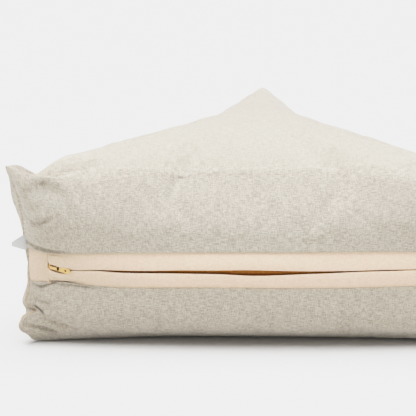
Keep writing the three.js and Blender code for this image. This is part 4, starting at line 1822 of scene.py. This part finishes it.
@dataclass(frozen=True)
class BrassFinish:
    """Brass, dulled in patches, with painted shadow right of a place, where other metal covers it.
    """

    name: str
    bright: Triple
    dull: Triple
    roughness: float = 0.3
    rough_spread: float = 0.18
    relief: float = 0.04 * MM
    relief_strength: float = 0.35
    patches: float = 420.0
    scratches: float = 4200.0
    clear: float = 0.35
    dulled: float = 0.35
    shadow_colour: Triple = (0.035, 0.02, 0.01)
    shadow_right_of: float = 1.0
    shadow_slope: float = 2500.0

    def make(self) -> bpy.types.Material:
        """Make the material."""
        material = bpy.data.materials.new(self.name)
        material.use_nodes = True
        n = Nodes(material.node_tree)
        shader = material.node_tree.nodes["Principled BSDF"]
        place = n.add("ShaderNodeTexCoord")
        broad = n.noise(place.outputs["Object"], self.patches, 4.0)
        fine = n.noise(place.outputs["Object"], self.scratches, 3.0)
        share = n.math("SUBTRACT", broad, self.clear)
        share = n.math("MULTIPLY", share, 2 * self.dulled, clamp=True)
        colour = n.mix(share, self.bright, self.dull)
        split = n.add("ShaderNodeSeparateXYZ")
        n.join(place.outputs["Object"], split.inputs[0])
        # Painted shadow: the brass turns dark right of a place, where the pull lies over the
        # slider's body.
        in_shadow = n.math("SUBTRACT", split.outputs[0], self.shadow_right_of)
        in_shadow = n.math("MULTIPLY", in_shadow, self.shadow_slope, clamp=True)
        n.join(n.mix(in_shadow, colour, self.shadow_colour), shader.inputs["Base Color"])
        rough = n.math("MULTIPLY", broad, self.rough_spread)
        rough = n.math("ADD", self.roughness, rough, clamp=True)
        n.join(rough, shader.inputs["Roughness"])
        normal = n.bump(fine, self.relief_strength, self.relief)
        n.join(normal, shader.inputs["Normal"])
        shader.inputs["Metallic"].default_value = 1.0
        return material


def make_finishes() -> dict[str, bpy.types.Material]:
    """Make every finish of the object.

    Returns:
        The materials by the names that main gives them out under.
    """
    groups = {"weave": weave_group(), "neps": speck_group(), "tone_and_fold_shade": tone_and_fold_shade_group()}
    chambray = ClothFinish(
        "chambray",
        warp=(0.317, 0.278, 0.225),
        weft=(0.592, 0.525, 0.417),
        nep=(0.66, 0.61, 0.52),
        seam=(0.62, 0.44, 0.27),
        slub_length=10.5,
        slub_width=1.08,
        unevenness=4.8,
        rubbed=(146 * MM, 158 * MM),
    )
    calico = ClothFinish(
        "calico",
        warp=(0.79, 0.555, 0.385),
        weft=(0.92, 0.68, 0.492),
        nep=(0.42, 0.28, 0.16),
        seam=(0.62, 0.44, 0.27),
        unevenness=4.6,
        nep_size=0.06,
        # Painted shade: the calico darkens towards its left end, by the corner.
        painted_shade_span=(-175 * MM, -55 * MM),
    )
    tape = ClothFinish(
        "zip_tape",
        warp=(0.50, 0.14, 0.018),
        weft=(0.60, 0.19, 0.032),
        nep=(0.3, 0.15, 0.05),
        seam=(0.3, 0.15, 0.05),
        yarns=2600.0,
        unevenness=1.0,
    )
    ribbon = ClothFinish(
        "ribbon",
        warp=(0.74, 0.75, 0.73),
        weft=(0.80, 0.81, 0.79),
        nep=(0.8, 0.8, 0.8),
        seam=(0.8, 0.8, 0.8),
        yarns=4200.0,
        unevenness=0.5,
    )
    thread = ClothFinish(
        "seam_thread",
        warp=(0.45, 0.28, 0.14),
        weft=(0.55, 0.36, 0.20),
        nep=(0.5, 0.4, 0.3),
        seam=(0.5, 0.4, 0.3),
        unevenness=0.5,
    )
    slider = BrassFinish(
        "zip_slider_brass",
        bright=(0.68, 0.44, 0.20),
        dull=(0.54, 0.33, 0.13),
        roughness=0.46,
        # Painted shadow on the slider's body under the pull.
        shadow_right_of=-167 * MM,
    )
    teeth = BrassFinish(
        "zip_teeth_brass", bright=(0.50, 0.20, 0.04), dull=(0.34, 0.13, 0.03), roughness=0.45
    )
    return {
        "chambray": chambray.make(groups),
        "calico": calico.make(groups),
        "tape": tape.make(groups),
        "ribbon": ribbon.make(groups),
        "thread": thread.make(groups),
        "brass": BrassFinish("zip_brass", (0.59, 0.37, 0.155), (0.42, 0.25, 0.09)).make(),
        "slider": slider.make(),
        "teeth": teeth.make(),
    }


@dataclass
class Studio:
    """A pale floor, soft light from above and a camera that looks at the zip's wall.

    The roll-off is the film curve, from brightness in the scene to brightness in the picture.
    """

    camera_at: Triple = (22.8 * MM, -1556.3 * MM, 489.0 * MM)
    yaw: float = -2.51
    pitch: float = 14.73
    roll: float = -0.47
    lens: float = 147.1
    sensor: float = 36.0
    farthest: float = 40.0
    floor_size: float = 14.0
    floor_drop: float = 0.3 * MM
    paper: tuple[Triple, Triple] = ((0.705, 0.70, 0.685), (0.72, 0.715, 0.70))
    paper_patches: float = 3.0
    paper_roughness: float = 0.8
    paper_specular: float = 0.1
    room_colour: Triple = (0.99, 0.99, 1.0)
    room_light: float = 0.42
    soft_light: float = 7.6
    soft_colour: Triple = (0.975, 0.99, 1.03)
    softness: float = 66.0
    light_from: Triple = (0.05, -0.03, 1.0)
    side_light: float = 0.8
    side_colour: Triple = (1.0, 0.90, 0.80)
    side_from: Triple = (-1.0, -0.05, 0.3)
    brightest: float = 2.2
    roll_off: tuple[Pair, ...] = (
        (0.25, 0.25), (0.5, 0.48), (0.62, 0.56), (0.8, 0.648),
        (1.0, 0.735), (1.2, 0.795), (1.5, 0.836), (1.8, 0.858),
    )
    whitest: float = 0.875

    def build(self) -> None:
        """Lay the floor, hang the lights and set up the camera."""
        self.floor()
        self.lights()
        self.camera()

    def floor(self) -> None:
        """Lay the floor."""
        bm = bmesh.new()
        bmesh.ops.create_grid(bm, x_segments=8, y_segments=8, size=self.floor_size / 2)
        bmesh.ops.translate(bm, vec=(0, 0, -self.floor_drop), verts=bm.verts[:])
        floor = lay_out("studio_floor", mesh_of("studio_floor", bm))
        material = bpy.data.materials.new("studio_paper")
        material.use_nodes = True
        n = Nodes(material.node_tree)
        shader = material.node_tree.nodes["Principled BSDF"]
        place = n.add("ShaderNodeTexCoord")
        noise = n.noise(place.outputs["Object"], self.paper_patches)
        n.join(n.mix(noise, *self.paper), shader.inputs["Base Color"])
        shader.inputs["Roughness"].default_value = self.paper_roughness
        shader.inputs["Specular IOR Level"].default_value = self.paper_specular
        floor.data.materials.append(material)

    def lights(self) -> None:
        """Light the room evenly, with a broad light overhead and a weak warm one at the left."""
        world = bpy.data.worlds.new("studio_room")
        world.use_nodes = True
        sky = world.node_tree.nodes["Background"]
        sky.inputs["Color"].default_value = (*self.room_colour, 1.0)
        sky.inputs["Strength"].default_value = self.room_light
        bpy.context.scene.world = world

        self.sun("soft_light_above", self.soft_light, self.light_from, self.soft_colour)
        self.sun("soft_light_aside", self.side_light, self.side_from, self.side_colour)

    def sun(self, name: str, energy: float, direction: Triple, colour: Triple) -> None:
        """Hang one broad soft light.

        Args:
            name: The light's name.
            energy: How strong it is.
            direction: Where it shines from.
            colour: Its colour.
        """
        light = bpy.data.lights.new(name, "SUN")
        light.energy = energy
        light.color = colour
        light.angle = math.radians(self.softness)
        lamp = bpy.data.objects.new(name, light)
        lamp.rotation_euler = Vector(direction).to_track_quat("Z", "Y").to_euler()
        lamp.location = Vector(direction) * 3
        bpy.context.scene.collection.objects.link(lamp)

    def camera(self) -> None:
        """Set up the camera at the photograph's angle."""
        data = bpy.data.cameras.new("camera")
        data.lens = self.lens
        data.sensor_width = self.sensor
        data.clip_end = self.farthest
        camera = bpy.data.objects.new("camera", data)
        yaw, pitch, roll = (math.radians(angle) for angle in (self.yaw, self.pitch, self.roll))
        level = math.cos(pitch)
        ahead = Vector((math.sin(yaw) * level, math.cos(yaw) * level, -math.sin(pitch)))
        right = Vector((math.cos(yaw), -math.sin(yaw), 0.0))
        up = right.cross(ahead)
        rolled_right = right * math.cos(roll) + up * math.sin(roll)
        rolled_up = up * math.cos(roll) - right * math.sin(roll)
        turn = Matrix([*zip(rolled_right, rolled_up, -ahead)]).to_4x4()
        camera.matrix_world = Matrix.Translation(self.camera_at) @ turn
        bpy.context.scene.collection.objects.link(camera)
        bpy.context.scene.camera = camera
        self.film()

    def film(self) -> None:
        """Give the picture the soft highlights of a photograph, which roll off below white."""
        view = bpy.context.scene.view_settings
        view.view_transform = "Standard"
        view.use_curve_mapping = True
        mapping = view.curve_mapping
        mapping.white_level = (self.brightest,) * 3
        curve = mapping.curves[3]
        for bright, shown in self.roll_off:
            curve.points.new(bright / self.brightest, shown)
        curve.points[-1].location = (1.0, self.whitest)
        mapping.update()


def main() -> None:
    """Build the zafu and the studio, and dress every piece."""
    logging.basicConfig(level=logging.INFO, format="%(message)s")
    finishes = make_finishes()
    form, band = CushionForm(), Band()
    wall = FrontWall(form, band)
    zip_line = Zip(wall)
    cover = Cushion(form, band, wall)
    cover.build(finishes["chambray"])
    Placket(zip_line, wall).build(finishes["calico"])
    zip_line.build(finishes)
    Label().build(finishes["ribbon"])
    Trim(wall).build(cover.seams, finishes["thread"])
    Studio().build()


if __name__ == "__main__":
    main()
